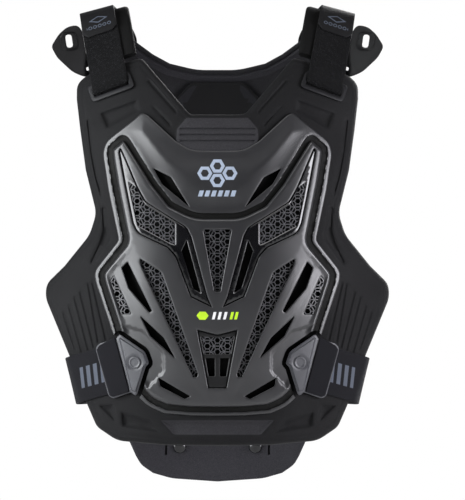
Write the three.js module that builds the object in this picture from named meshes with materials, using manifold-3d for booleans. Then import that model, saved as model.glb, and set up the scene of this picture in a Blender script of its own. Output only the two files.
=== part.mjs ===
// A motocross roost deflector: a foam chest pad under a moulded shell with ventilated openings, and a foam
// back pad, joined over the shoulders by hook-and-loop webbing and round the waist by elastic webbing with
// riveted plastic buckles.
//
// Millimetres, +Z up, +X towards the wearer's left, and the chest faces -Y. The origin lies midway between
// the two shoulder pads, at the height where they rest on the wearer's shoulders.
import * as THREE from "three";
import { mergeVertices } from "three/addons/utils/BufferGeometryUtils.js";
import Module from "manifold-3d";

const wasm = await Module();
wasm.setup();

// Chest pad
const padHalfWidth = 186.5;
const padHeight = 420;
const padTop = -44;
const padThickness = 10;
const padEdgeThickness = 5;
const padEdgeTaper = 3.5;
const grooveDepth = 3;
const grooveSlope = 0.9;
const fluteCount = 5;
const fluteWidth = 4.2;
const collarRibCount = 3;
const collarRibHalfLength = 35;
const collarRibWidth = 2.8;

// How the two pads lie round the chest
const chestDepth = 118;
const backDepth = 112;
const sideWrap = 90;
const wrapPower = 2.2;

// Chest shell
const shellHalfWidth = 132.5;
const shellHeight = 327;
const shellTop = -105;
const shellWall = 2.5;
const rimThickness = 3;
const channelDepth = 1.5;
const channelWidth = 6;
const channelSlope = 0.8;
const bodyRise = 7;

// Vents in the shell
const ventPitch = 12.5;
const ventBar = 2;
const smallestGap = 18;
const ventPlateThickness = 2;
const ventMargin = 2.5;
const insertRecess = 1;
const insertSlope = 1;

// Buckles
const buckleAcross = 67.4;
const buckleDown = 82.3;
const buckleWidth = 58;
const buckleHeight = 70;
const buckleFrameThickness = 2.5;
const bucklePlateRise = 2;
const buckleClearance = 4.5;
const buttonRadius = 6.5;
const buttonThickness = 1.5;
const buckleShankRadius = 2.8;
const bucklePlateSlope = 1;

// Webbing
const shoulderStrapWidth = 38;
const webbingThickness = 2;
const frontSlotInset = 71;
const frontSlotHeight = -76;
const frontSlotTop = -60;
const rearSlotInset = 32;
const rearSlotHeight = -92;
const rearSlotTop = -34;
const slotTilt = 20;
const slotOpening = 9.5;
const slotFrameBar = 4;
const slotFrameThickness = 3;
const strapApexOut = 14.5;
const strapApexDepth = -6;
const strapApexHeight = 4;
const apexTilt = 15;
const apexReach = 30;
const frontRise = 26;
const rearRise = 18;
const innerTail = 19;
const tabReach = 43;
const rearTabReach = 40;
const tabChamfer = 6;
const sideStrapWidth = 51;
const sideStrapFall = 16;
const sideStrapLift = 35;
const sideStrapBulge = 22;
const sideStrapDrop = 20;
const sideStrapStart = 4.3;
const rearStrapEdge = 14;
const rearStrapInset = 12;

// Shoulder pads
const shoulderPadInner = 34;
const shoulderPadRearInner = 12;
const shoulderPadOuter = 14;
const shoulderPadThickness = 8;
const shoulderPadEndGap = 14;
const rearPadEndGap = 28;

// Back pad, its lining, its shell and the shoulder wings
const backHalfWidth = 138;
const backHeight = 497;
const backTop = -8;
const backThickness = 10;
const liningThickness = 3;
const backShellHalfWidth = 100;
const backShellHeight = 330;
const backShellTop = -116;
const backShellRise = 5;
const backTierInset = 14;
const backTierSlope = 4;
const wingOverhang = 42.5;
const wingHeight = 62.5;
const wingTop = -8.5;
const wingThickness = 3;
const wingBossSize = 20;
const wingBossRound = 8;
const wingBossRise = 2.2;
const wingBossSlope = 1.5;
const eyeletWidth = 6.8;
const eyeletHeight = 14;
const eyeletRound = 2.7;
const eyeletTilt = 8;
const snapRadius = 7.2;
const snapShank = 2.6;
const snapDome = 4;
const snapWasherRadius = 5.2;
const snapWasherThickness = 1.5;
const snapAcross = 41;
const snapHeight = -467;
const tailSlotAcross = 56;
const tailSlotWidth = 2.4;
const tailSlotLength = 18;

// Fits
const seatGap = 0.5;
const webbingGap = 0.6;
const sideSlant = 1.25;
const slotPlay = 2;
const holePlay = 0.4;
const barClearance = 1;

// How far a shank reaches into its head, so that the two are one body
const shankLap = 0.5;

// How finely the curved faces are cut into flat ones
const chordHeight = 0.45;
const gridAcross = 22;
const gridDown = 38;
const gridClearance = 8;
const mostTurns = 60;
const broadRound = 6;
const archSteps = 7;
const circleSides = 10;
const strapRowPitch = 16;
const sideSeatSteps = 5;
const sideArchSteps = 12;
const rearSeatSteps = 3;
const strapColumns = [-0.5, 0, 0.5];

// Limits that keep the outlines clean: how blunt the mitre of a sharp corner is when its ring grows or
// shrinks, how much of a side its corner's round may take, the shortest side of a gap in a moulded mesh, the
// angle that rings are turned by while they are filled, and the least spacing of a strip's rows
const growMitre = 0.8;
const shrinkMitre = 0.35;
const roundShare = 0.45;
const shortestGapSide = 0.3;
const fillTurn = 0.37;
const rowSpacing = 1;

// Corner tables. Each row is a share of the half width, a share of the height below the top, both in
// hundredths, and where the corner is rounded, the length in millimetres that the round takes from each side.
const padSize = { half: padHalfWidth, height: padHeight, top: padTop };
const shellSize = { half: shellHalfWidth, height: shellHeight, top: shellTop };
const backSize = { half: backHalfWidth, height: backHeight, top: backTop };
const wingSize = { half: backHalfWidth + wingOverhang, height: wingHeight, top: wingTop };
const backShellSize = { half: backShellHalfWidth, height: backShellHeight, top: backShellTop };

const padOutline = [
  [0, 14.9], [15.8, 14.9, 4], [44, 0.2, 5], [75.1, 4.4, 10], [81.6, 7, 8], [81.6, 10.9],
  [79.5, 18.8], [76.3, 29.1], [70.1, 40.2, 8], [74, 45.8, 8], [88.6, 53.8], [99.2, 58.4, 7],
  [99.8, 62, 7], [85.1, 77.7], [75.1, 89.8], [69.8, 95.2, 5], [58.1, 98.7, 8], [31.1, 99.8], [0, 100],
];
const padGrooves = {
  side: [
    [76.3, 16], [73.4, 16], [71.9, 24], [69.3, 29.6], [66.6, 34.8], [67.5, 36.6], [71.3, 31.2], [74.2, 24.5],
  ],
  waist: [
    [67.5, 38.6], [64.6, 38.4], [62.8, 43], [61.3, 46.9], [72.8, 53.6], [74, 52.8], [68.7, 47.9], [66.6, 44.6],
  ],
  shoulder: [[68.1, 14.4], [46.1, 10.9], [44.9, 14], [64, 18.6]],
  neck: [[41.7, 6.2], [38.7, 5.7], [22.3, 14], [24.1, 15]],
  collar: [[38.2, 12.9], [36.2, 12.7], [26.1, 17.4], [27.2, 18.4]],
  hip: [[69.3, 89.6], [59.9, 89.3], [58.7, 94.2]],
  hem: [[55.8, 91.1], [39, 93.4], [31.7, 96.8], [55.2, 95.2]],
};
const padHemPanel = [[0, 93.4], [32.9, 93.4], [25.2, 97.1], [0, 97.1]];
const fluteTops = { near: [74, 58.6], far: [89.2, 65.6] };
const fluteFeet = { near: [65.7, 72.3], far: [82.8, 75.4] };
const collarRibs = { first: 18.6, pitch: 1.55 };

const shellOutline = [
  [0, 12.5], [21.6, 12.3, 8], [34.1, 9.2], [56.5, 0.8], [61.5, -0.2, 4], [68.1, 2.2], [90.6, 9.3, 7],
  [93.5, 13.1, 6], [88.9, 25.4], [80.2, 42, 4], [100.1, 52.1, 7], [99.7, 55.1, 5], [84.7, 73.2],
  [65.6, 93.1], [56.5, 96.7, 10], [43.2, 99], [21.6, 99.7], [0, 99.8],
];
const channelOutline = [
  [0, 33], [18.3, 33, 10], [36.6, 29.3], [49.8, 22.6], [72.3, 7.9, 5], [77.7, 6.9, 4], [90.1, 11.2, 6],
  [89.7, 14.5, 6], [85.6, 24.4], [76.6, 42.2, 5], [97, 52.3, 6], [96.4, 55.4, 5], [81.4, 73.9],
  [62.7, 92.4], [54.8, 95.7, 10], [41.5, 98], [21.6, 98.7], [0, 98.8],
];
const sideVent = [
  [78.9, 11.3, 2], [73.9, 15.8], [64.8, 24.4], [58.2, 29.2, 3], [38.2, 34.3], [24.9, 37.6, 4], [21.2, 40.6],
  [7.9, 60.7], [4.2, 64.2], [22, 60.7], [34.5, 47.2, 3], [40.7, 44.5], [65.2, 39.7, 5], [69, 36.3],
  [75.6, 23], [80.2, 12.8],
];
const sideVentMesh = [
  [72.3, 22.7], [66.5, 24.4], [58.6, 30.3], [34.1, 36.4], [34.1, 43.5], [38.2, 43], [64.5, 37.2], [69.6, 28.3],
];
const sideVentSlot = [[24.9, 41.9], [29.1, 45.5], [19.5, 57.9], [13.3, 59.4]];
const centreVent = [[0, 38.4], [11.6, 38.4, 2], [2.5, 59, 1.5], [0, 59]];
const longVent = [
  [62.7, 48.1], [45.7, 52.4, 2], [42.4, 56.1], [15.8, 86.1], [16.6, 87.1], [19.9, 87.1], [62.3, 50.1],
];
const smallVent = [[84.3, 53.6], [87.2, 55.4], [78.6, 66.3], [70.2, 66.3]];
const lowerVent = [[0, 73.1], [16.6, 71.4], [7.5, 90.8], [0, 90.8]];
const lowerVentMesh = [[0, 74.1], [13.7, 73.6], [10.8, 79.5], [0, 79.5]];
const lowerVentSlot = [[2.1, 80.8], [9.6, 80.8], [7.1, 86.8], [2.1, 86.8]];
const shellSlots = {
  flank: [[73.1, 49.1], [77.7, 51], [71.9, 57.9], [55.2, 65.8], [53.2, 65.3]],
  lower: [[62.3, 67.1], [54.4, 73.6], [34.5, 80.8], [43.6, 74.1]],
  hem: [[47.8, 87.3], [46.5, 90.1], [26.6, 94.3], [22, 93.4]],
};
const chestSlot = [[51.9, 18.3], [44.9, 23.5], [22.8, 31], [37.8, 21.2]];

// Measured from the button, in hundredths of the buckle's own width outwards and of its height upwards
const buckleOutline = [
  [28.6, 44.4, 3], [-19.7, 16.9, 3], [-27.2, -1.6, 2], [-20.7, -6.4], [-5.2, -48.1], [-1.4, -51.3, 2],
  [6.6, -45.9], [39.1, -55.4, 2], [48.3, -52.4, 3], [73.3, 22, 4], [66.9, 28.7, 2], [33.8, 37.4],
];
const buckleOpening = [[35.3, 32.6], [64.8, 24.7], [43.1, -50], [10.3, -41.4]];
const bucklePlate = [[30, 40.5], [-17.3, 14.5], [-24, -1.8], [-17.6, -6], [-2.4, -46.4], [6.9, -42.6]];

const backOutline = [
  [0, 9.8], [16.4, 9.8, 10], [37.6, 8.4], [50.9, 6.4], [64.2, 3.7], [70.5, 1.6, 3], [97, 4.6, 6], [99, 10],
  [97, 18], [90, 28], [86.9, 41], [90.8, 56], [92.3, 69], [86.1, 82], [71, 90.2], [64.4, 94.3],
  [60.3, 96.3, 5], [50.9, 98.1], [36, 99.3, 6], [0, 100],
];
const liningOutline = [
  [0, 12.5], [20.3, 12.5, 3], [32.9, 16], [50, 27], [58, 41], [62, 60], [58, 76], [44, 84, 12], [0, 84],
];
const backShellOutline = [
  [0, 4], [34, 4, 8], [66, 0, 6], [97, 6, 10], [100, 15, 8], [88, 34], [80, 52], [84, 68], [88, 77, 12],
  [66, 91], [54, 99, 10], [0, 100],
];
const wingOutline = [
  [59.8, 47.2, 3], [78.7, 55.2, 4], [81.2, 10.4, 3], [84.2, 0, 4], [90.3, 3.2, 5], [95.3, 16, 4],
  [100, 37.6, 4], [96.4, 56.8, 4], [87.5, 80.8, 4], [81.4, 88.8, 6], [75.3, 91.2], [59.3, 100, 3],
];
const wingStrapSlot = [[72.6, 67.2], [79.2, 73.6], [78.7, 79.2], [72, 72.8]];
const eyeletSpot = [89.2, 28];

// The depth of each pad's inner face on the centre line, as shares of its full depth
const chestProfile = [
  { down: -0.15, depth: 0.35 }, { down: 0, depth: 0.6 }, { down: 0.086, depth: 0.78 },
  { down: 0.205, depth: 0.915 }, { down: 0.37, depth: 1 }, { down: 0.61, depth: 1 },
  { down: 0.85, depth: 0.93 }, { down: 1, depth: 0.88 },
];
const backProfile = [
  { down: -0.05, depth: 0.45 }, { down: 0, depth: 0.6 }, { down: 0.085, depth: 0.8 },
  { down: 0.185, depth: 0.95 }, { down: 0.346, depth: 1.02 }, { down: 0.547, depth: 0.97 },
  { down: 0.708, depth: 0.89 }, { down: 0.869, depth: 0.88 }, { down: 1, depth: 0.95 },
];

// Reads a profile smoothly at a share of its height.
function readProfile(profile, down) {
  const last = profile.length - 1;
  const at = THREE.MathUtils.clamp(down, profile[0].down, profile[last].down);
  let i = 0;
  while (i < last - 1 && at > profile[i + 1].down) i += 1;
  const slope = (k) => {
    const a = profile[Math.max(k - 1, 0)];
    const b = profile[Math.min(k + 1, last)];
    return (b.depth - a.depth) / (b.down - a.down);
  };
  const [a, b] = [profile[i], profile[i + 1]];
  const span = b.down - a.down;
  const t = (at - a.down) / span;
  const [t2, t3] = [t * t, t * t * t];
  return (
    (2 * t3 - 3 * t2 + 1) * a.depth + (t3 - 2 * t2 + t) * span * slope(i) +
    (3 * t2 - 2 * t3) * b.depth + (t3 - t2) * span * slope(i + 1)
  );
}

const wrapAt = (x) => sideWrap * Math.pow(Math.abs(x) / padHalfWidth, wrapPower);

// The point that lies a height above the chest pad's inner face, seen from the front at x, z
function onChest(x, z, height) {
  const depth = chestDepth * readProfile(chestProfile, (padTop - z) / padHeight);
  return new THREE.Vector3(x, wrapAt(x) - depth - height, z);
}

// The same for the back pad, with heights rising away from the wearer
function onBack(x, z, height) {
  const depth = backDepth * readProfile(backProfile, (backTop - z) / backHeight);
  return new THREE.Vector3(x, depth - wrapAt(x) + height, z);
}

// Corners, growing, rounding and mirroring
const placed = (table, size, side) =>
  table.map(([across, down, round = 0]) => ({
    x: (side * across * size.half) / 100,
    z: size.top - (down * size.height) / 100,
    round,
  }));

function mirrored(table, size) {
  const right = placed(table, size, 1);
  const left = placed(table, size, -1).reverse();
  return [...right, ...left.filter((corner) => Math.abs(corner.x) > 1e-6)];
}

function signedArea(ring) {
  let sum = 0;
  ring.forEach((a, i) => {
    const b = ring[(i + 1) % ring.length];
    sum += a.x * b.z - b.x * a.z;
  });
  return sum / 2;
}

// Moves each side of a ring outwards by a distance, or inwards where it is negative.
function grown(corners, distance) {
  const outward = Math.sign(signedArea(corners));
  const count = corners.length;
  const normal = (a, b) => {
    const length = Math.hypot(b.x - a.x, b.z - a.z);
    return { x: (outward * (b.z - a.z)) / length, z: (-outward * (b.x - a.x)) / length };
  };
  return corners.map((corner, i) => {
    const before = normal(corners[(i + count - 1) % count], corner);
    const after = normal(corner, corners[(i + 1) % count]);
    const mitre = Math.max(1 + before.x * after.x + before.z * after.z, distance > 0 ? growMitre : shrinkMitre);
    return {
      x: corner.x + (distance * (before.x + after.x)) / mitre,
      z: corner.z + (distance * (before.z + after.z)) / mitre,
      round: corner.round,
    };
  });
}

// Replaces each rounded corner by a short curve, and drops corners that lie in line with their neighbours.
function rounded(corners) {
  const ring = [];
  corners.forEach((corner, i) => {
    const here = new THREE.Vector2(corner.x, corner.z);
    const towards = (other) => {
      const way = new THREE.Vector2(other.x, other.z).sub(here);
      return here.clone().add(way.setLength(Math.min(corner.round, way.length() * roundShare)));
    };
    if (!corner.round) {
      ring.push(here);
      return;
    }
    const from = towards(corners[(i + corners.length - 1) % corners.length]);
    const to = towards(corners[(i + 1) % corners.length]);
    ring.push(...new THREE.QuadraticBezierCurve(from, here, to).getPoints(corner.round < broadRound ? 1 : 2));
  });
  return ring
    .filter((point, i) => {
      const [before, after] = [ring[(i + ring.length - 1) % ring.length], ring[(i + 1) % ring.length]];
      return Math.abs(point.clone().sub(before).cross(after.clone().sub(point))) > 1e-6;
    })
    .map((point) => ({ x: point.x, z: point.y }));
}

function circle(centre, radius) {
  return Array.from({ length: circleSides }, (unused, i) => {
    const angle = ((i + 0.5) * 2 * Math.PI) / circleSides;
    return { x: centre.x + radius * Math.cos(angle), z: centre.z + radius * Math.sin(angle) };
  });
}

// A rectangle with its long side sloping down outwards
function slantedBox(centre, width, height, side, slope, round = 0) {
  const angle = THREE.MathUtils.degToRad(slope);
  const corner = (along, up) => ({
    x: side * (centre.x + along * Math.cos(angle) + up * Math.sin(angle)),
    z: centre.z - along * Math.sin(angle) + up * Math.cos(angle),
    round,
  });
  return [
    corner(-width / 2, -height / 2), corner(width / 2, -height / 2),
    corner(width / 2, height / 2), corner(-width / 2, height / 2),
  ];
}

// The part of an area that a convex ring covers
function clipped(area, convex) {
  const turn = Math.sign(signedArea(convex));
  let kept = area;
  convex.forEach((a, i) => {
    const b = convex[(i + 1) % convex.length];
    const side = (p) => turn * ((b.x - a.x) * (p.z - a.z) - (b.z - a.z) * (p.x - a.x));
    const next = [];
    kept.forEach((p, k) => {
      const q = kept[(k + 1) % kept.length];
      const [sp, sq] = [side(p), side(q)];
      if (sp >= 0) next.push(p);
      if (sp * sq < 0) {
        const t = sp / (sp - sq);
        next.push({ x: p.x + t * (q.x - p.x), z: p.z + t * (q.z - p.z) });
      }
    });
    kept = next;
  });
  return kept;
}

// The six-sided gaps of a moulded mesh, cut off at the edge of its area
function meshGaps(area) {
  const gaps = [];
  const columnPitch = ventPitch * Math.cos(Math.PI / 6);
  const xs = area.map((p) => p.x);
  const zs = area.map((p) => p.z);
  const radius = (ventPitch - ventBar) / 2 / Math.cos(Math.PI / 6);
  const firstColumn = Math.floor(Math.min(...xs) / columnPitch);
  const lastColumn = Math.ceil(Math.max(...xs) / columnPitch);
  const firstRow = Math.floor(Math.min(...zs) / ventPitch) - 1;
  const lastRow = Math.ceil(Math.max(...zs) / ventPitch) + 1;
  for (let column = firstColumn; column <= lastColumn; column += 1) {
    for (let row = firstRow; row <= lastRow; row += 1) {
      const offset = column % 2 === 0 ? 0 : ventPitch / 2;
      const centre = { x: column * columnPitch, z: row * ventPitch + offset };
      const cell = Array.from({ length: 6 }, (unused, i) => ({
        x: centre.x + radius * Math.cos((i * Math.PI) / 3),
        z: centre.z + radius * Math.sin((i * Math.PI) / 3),
      }));
      const gap = clipped(area, cell).filter((p, i, all) => {
        const next = all[(i + 1) % all.length];
        return Math.hypot(p.x - next.x, p.z - next.z) > shortestGapSide;
      });
      if (gap.length > 2 && Math.abs(signedArea(gap)) > smallestGap) gaps.push(gap);
    }
  }
  return gaps;
}

// Curved plates. A region is a ring in the front view with the height of its face, the holes through it, and
// the inner regions that stand above or below it. Its edge, where it has one, is the ring outside its own at
// which its sloping side starts.
// The triangulation drops corners that line up exactly, so it sees every ring turned a little.
const origin = new THREE.Vector2(0, 0);
const edgeKey = (a, b) => (a < b ? a + "_" + b : b + "_" + a);

function layOut(region) {
  const points = [];
  const places = new Map();
  const triangles = [];
  const fixed = new Set();
  const pointOf = (p, height) => {
    const key = p.x.toFixed(3) + "_" + p.z.toFixed(3);
    if (!places.has(key)) {
      places.set(key, points.length);
      points.push({ x: p.x, z: p.z, height });
    }
    return places.get(key);
  };
  const fill = (...rings) => {
    const ids = rings.map(({ ring, height }) => ring.map((p) => pointOf(p, height)));
    ids.forEach((loop) => loop.forEach((id, i) => fixed.add(edgeKey(id, loop[(i + 1) % loop.length]))));
    const flat = rings.map(({ ring }) =>
      ring.map((p) => new THREE.Vector2(p.x, p.z).rotateAround(origin, fillTurn)));
    const all = ids.flat();
    const filled = THREE.ShapeUtils.triangulateShape(flat[0], flat.slice(1)).map((t) => t.map((k) => all[k]));
    const turn = filled.reduce((sum, triangle) => sum + signedArea(triangle.map((id) => points[id])), 0);
    triangles.push(...(turn > 0 ? filled : filled.map(([a, b, c]) => [a, c, b])));
  };
  const lay = ({ ring, height, edge, holes = [], inner = [] }, outerHeight) => {
    if (edge) fill({ ring: edge, height: outerHeight }, { ring, height });
    fill(
      { ring, height },
      ...holes.map((hole) => ({ ring: hole, height })),
      ...inner.map((raised) => ({ ring: raised.edge, height })),
    );
    inner.forEach((raised) => lay(raised, height));
  };
  lay(region, region.edgeHeight);
  return { points, triangles, fixed };
}

// The triangles on each edge
function edgesOf(triangles) {
  const edges = new Map();
  triangles.forEach((triangle, t) => {
    triangle.forEach((a, k) => {
      const key = edgeKey(a, triangle[(k + 1) % 3]);
      if (!edges.has(key)) edges.set(key, []);
      edges.get(key).push({ t, from: a, to: triangle[(k + 1) % 3], apex: triangle[(k + 2) % 3] });
    });
  });
  return edges;
}

// Turns the diagonal of a pair of triangles where the other one makes rounder triangles. The plates curve
// less up and down than across, so there lengths count for half.
function turnDiagonals({ points, triangles, fixed }) {
  const cross = (a, b, c) => (b.x - a.x) * (c.z - a.z) - (b.z - a.z) * (c.x - a.x);
  const angleAt = (apex, a, b) => {
    const [one, two] = [a, b].map((p) => Math.atan2((p.z - apex.z) / 2, p.x - apex.x));
    const turn = Math.abs(one - two);
    return Math.min(turn, 2 * Math.PI - turn);
  };
  for (let pass = 0; pass < mostTurns; pass += 1) {
    const busy = new Set();
    edgesOf(triangles).forEach((pair, key) => {
      if (pair.length !== 2 || fixed.has(key) || busy.has(pair[0].t) || busy.has(pair[1].t)) return;
      const [{ t, from, to, apex }, { t: other, apex: opposite }] = pair;
      const [pa, pb, pc, pd] = [apex, from, opposite, to].map((id) => points[id]);
      if (angleAt(pa, pb, pd) + angleAt(pc, pb, pd) < Math.PI + 1e-6) return;
      if (cross(pa, pb, pc) < 1e-4 || cross(pa, pc, pd) < 1e-4) return;
      triangles[t] = [apex, from, opposite];
      triangles[other] = [apex, opposite, to];
      busy.add(t);
      busy.add(other);
    });
    if (!busy.size) return;
  }
}

// Adds points on a staggered grid wherever it is clear of the fixed edges, so that few edges need halving.
function addGrid({ points, triangles, fixed }) {
  const edges = [...fixed].map((key) => key.split("_").map((id) => points[id]));
  const near = (p) => edges.some(([a, b]) => {
    const [dx, dz] = [b.x - a.x, b.z - a.z];
    const share = THREE.MathUtils.clamp(((p.x - a.x) * dx + (p.z - a.z) * dz) / (dx * dx + dz * dz), 0, 1);
    return Math.hypot(a.x + share * dx - p.x, a.z + share * dz - p.z) < gridClearance;
  });
  const [xs, zs] = [points.map((p) => p.x), points.map((p) => p.z)];
  const [left, right] = [Math.min(...xs), Math.max(...xs)];
  const [low, high] = [Math.min(...zs), Math.max(...zs)];
  const columns = Math.ceil(Math.max(...xs.map(Math.abs)) / gridAcross);
  const rows = Math.ceil(Math.max(...zs.map(Math.abs)) / gridDown);
  for (let column = -columns; column <= columns; column += 1) {
    for (let row = -rows; row <= rows; row += 1) {
      const p = { x: column * gridAcross, z: (row + (column % 2) / 2) * gridDown };
      if (p.x < left || p.x > right || p.z < low || p.z > high || near(p)) continue;
      const shares = (triangle) => {
        const [a, b, c] = triangle.map((id) => points[id]);
        const parts = [signedArea([p, b, c]), signedArea([a, p, c]), signedArea([a, b, p])];
        return parts.map((part) => part / signedArea([a, b, c]));
      };
      const t = triangles.findIndex((triangle) => shares(triangle).every((share) => share >= 0));
      if (t < 0) continue;
      const [a, b, c] = triangles[t];
      const [sa, sb, sc] = shares(triangles[t]);
      p.height = sa * points[a].height + sb * points[b].height + sc * points[c].height;
      const id = points.push(p) - 1;
      triangles[t] = [a, b, id];
      triangles.push([b, c, id], [c, a, id]);
    }
  }
}

// Halves edges that leave the curved surface by more than the finest chord height, the worst first and well
// apart, and says whether there was one.
function halveBentEdges({ points, triangles, fixed }, surface) {
  const wanted = [];
  edgesOf(triangles).forEach((uses, key) => {
    const [a, b] = [points[uses[0].from], points[uses[0].to]];
    const middle = { x: (a.x + b.x) / 2, z: (a.z + b.z) / 2, height: (a.height + b.height) / 2 };
    const chord = (surface(a.x, a.z, 0).y + surface(b.x, b.z, 0).y) / 2;
    const bend = Math.abs(surface(middle.x, middle.z, 0).y - chord);
    const apart = Math.hypot(a.x - b.x, a.z - b.z) / 3;
    if (bend > chordHeight) wanted.push({ uses, key, middle, bend, apart });
  });
  wanted.sort((one, other) => other.bend - one.bend);
  const halved = [];
  const busy = new Set();
  wanted.forEach(({ uses, key, middle, apart }) => {
    if (uses.some(({ t }) => busy.has(t))) return;
    if (halved.some((p) => Math.hypot(p.x - middle.x, p.z - middle.z) < apart)) return;
    const id = points.push(middle) - 1;
    halved.push(middle);
    uses.forEach(({ t, from, to, apex }) => {
      triangles[t] = [from, id, apex];
      triangles.push([id, to, apex]);
      busy.add(t);
    });
    if (!fixed.has(key)) return;
    fixed.add(edgeKey(uses[0].from, id));
    fixed.add(edgeKey(uses[0].to, id));
  });
  return wanted.length > 0;
}

// A closed body from points and triangles, with its faces pointing out
function closed(points, triangles) {
  const cross = new THREE.Vector3();
  const volume = triangles.reduce(
    (sum, [a, b, c]) => sum + points[a].dot(cross.crossVectors(points[b], points[c])), 0);
  const faces = volume > 0 ? triangles : triangles.map(([a, b, c]) => [a, c, b]);
  const geometry = new THREE.BufferGeometry().setFromPoints(points);
  geometry.setIndex(faces.flat());
  return geometry;
}

function fitted(region, surface) {
  const layout = layOut(region);
  turnDiagonals(layout);
  addGrid(layout);
  turnDiagonals(layout);
  while (halveBentEdges(layout, surface)) turnDiagonals(layout);
  return layout;
}

// A plate on one of the two curved surfaces: its face follows the region's heights, and its other side
// lies at the height that `under` gives for the height of the face.
function plate(region, surface, under) {
  const { points, triangles } = fitted(region, surface);
  const count = points.length;
  const corners = [
    ...points.map(({ x, z, height }) => surface(x, z, height)),
    ...points.map(({ x, z, height }) => surface(x, z, under(height))),
  ];
  const faces = triangles.flatMap(([a, b, c]) => [[a, b, c], [a + count, c + count, b + count]]);
  edgesOf(triangles).forEach((uses) => {
    if (uses.length !== 1) return;
    const { from, to } = uses[0];
    faces.push([from, from + count, to + count], [from, to + count, to]);
  });
  return closed(corners, faces);
}

// A plate whose other side is smooth, without the steps and grooves of its face
function backedPlate(region, surface, height) {
  const face = fitted(region, surface);
  const back = fitted({ ring: region.edge ?? region.ring, height, holes: region.holes }, surface);
  const count = face.points.length;
  const spot = ({ x, z }) => x.toFixed(4) + "_" + z.toFixed(4);
  const backIds = new Map(back.points.map((p, i) => [spot(p), i + count]));
  const corners = [...face.points, ...back.points].map((p) => surface(p.x, p.z, p.height));
  const faces = [...face.triangles, ...back.triangles.map(([a, b, c]) => [a + count, c + count, b + count])];
  edgesOf(face.triangles).forEach((uses) => {
    if (uses.length !== 1) return;
    const { from, to } = uses[0];
    const [underFrom, underTo] = [from, to].map((id) => backIds.get(spot(face.points[id])));
    faces.push([from, underFrom, underTo], [from, underTo, to]);
  });
  return closed(corners, faces);
}

// Strips of webbing or foam. A strip is a list of rows, each with its points across the near face, and
// `turn` is 1 or -1 to say on which side of the near face the far one lies.
function lifted(rows, distance, turn) {
  const last = rows[0].length - 1;
  const normals = rows.slice(1).map((next, i) =>
    next.map((point, k) => {
      const along = point.clone().sub(rows[i][k]);
      const across = next[Math.min(k + 1, last)].clone().sub(next[Math.max(k - 1, 0)]);
      return along.cross(across).setLength(turn);
    }));
  return rows.map((row, i) =>
    row.map((point, k) => {
      const before = normals[Math.max(i - 1, 0)][k];
      const lift = before.clone().add(normals[Math.min(i, normals.length - 1)][k]);
      return point.clone().addScaledVector(lift, distance / Math.max(lift.dot(before), 0.5));
    }));
}

function strip(rows, thickness, turn) {
  const far = lifted(rows, thickness, turn);
  const loops = rows.map((row, i) => [...row, ...far[i].slice().reverse()]);
  const size = loops[0].length;
  const end = (loops.length - 1) * size;
  const faces = [];
  for (let k = 0; k < size / 2 - 1; k += 1) {
    const [a, b, c, d] = [k, k + 1, size - 2 - k, size - 1 - k];
    faces.push([a, c, b], [a, d, c], [end + a, end + b, end + c], [end + a, end + c, end + d]);
  }
  for (let i = 0; i < end; i += size) {
    for (let k = 0; k < size; k += 1) {
      const [a, b] = [i + k, i + ((k + 1) % size)];
      faces.push([a, b, b + size], [a, b + size, a + size]);
    }
  }
  return closed(loops.flat(), faces);
}

const middleOf = (row) => row[0].clone().add(row[row.length - 1]).multiplyScalar(0.5);

// The rows of a strip from one length along its middle to another
function portion(rows, from, to) {
  const lengths = [0];
  rows.slice(1).forEach((row, i) => lengths.push(lengths[i] + middleOf(row).distanceTo(middleOf(rows[i]))));
  const rowAt = (length) => {
    const passed = lengths.filter((reached) => reached <= length).length;
    const i = THREE.MathUtils.clamp(passed - 1, 0, rows.length - 2);
    const share = (length - lengths[i]) / (lengths[i + 1] - lengths[i]);
    return rows[i].map((point, k) => point.clone().lerp(rows[i + 1][k], share));
  };
  const inside = rows.filter((row, i) => lengths[i] > from + rowSpacing && lengths[i] < to - rowSpacing);
  return [rowAt(from), ...inside, rowAt(to)];
}

// A row drawn in at both ends by a length
function narrowed(row, length) {
  const middle = middleOf(row);
  const half = row[0].distanceTo(middle);
  return row.map((point) => point.clone().lerp(middle, length / half));
}

// Joining and cutting
function solidOf(geometry) {
  const bare = geometry.clone();
  bare.deleteAttribute("normal");
  bare.deleteAttribute("uv");
  const merged = mergeVertices(bare, 1e-4);
  return new wasm.Manifold(
    new wasm.Mesh({
      numProp: 3,
      vertProperties: new Float32Array(merged.attributes.position.array),
      triVerts: new Uint32Array(merged.index.array),
    }),
  );
}

function geometryOf(solid) {
  const { vertProperties, triVerts } = solid.getMesh();
  const geometry = new THREE.BufferGeometry();
  geometry.setAttribute("position", new THREE.BufferAttribute(new Float32Array(vertProperties), 3));
  geometry.setIndex(Array.from(triVerts));
  return geometry;
}

const joined = (first, ...rest) =>
  geometryOf(rest.reduce((solid, geometry) => solid.add(solidOf(geometry)), solidOf(first)));
const cutBy = (first, ...rest) =>
  geometryOf(rest.reduce((solid, geometry) => solid.subtract(solidOf(geometry)), solidOf(first)));

// Levels above each pad's inner face
const padFace = padThickness;
const shellSeat = padFace + seatGap;
const rimFace = shellSeat + rimThickness;
const channelFace = rimFace - channelDepth;
const bodyFace = shellSeat + bodyRise;
const ventFace = bodyFace - shellWall - seatGap;
const insertFace = bodyFace - insertRecess;
const webbingSeat = padFace + webbingGap;
const buckleSeat = webbingSeat + webbingThickness * sideSlant + seatGap;
const buckleFrameFace = buckleSeat + buckleFrameThickness;
const bucklePlateFace = buckleFrameFace + bucklePlateRise;
const slotFrameFace = shellSeat + slotFrameThickness;
const strapSeat = slotFrameFace + webbingGap;
const slotWidth = shoulderStrapWidth + 2 * slotPlay;

// A region that starts from an edge in the region round it and slopes to its own height over a width
const stepped = (corners, slope, height, rest = {}) => ({
  edge: rounded(corners),
  ring: rounded(grown(corners, -slope)),
  height,
  ...rest,
});

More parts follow.
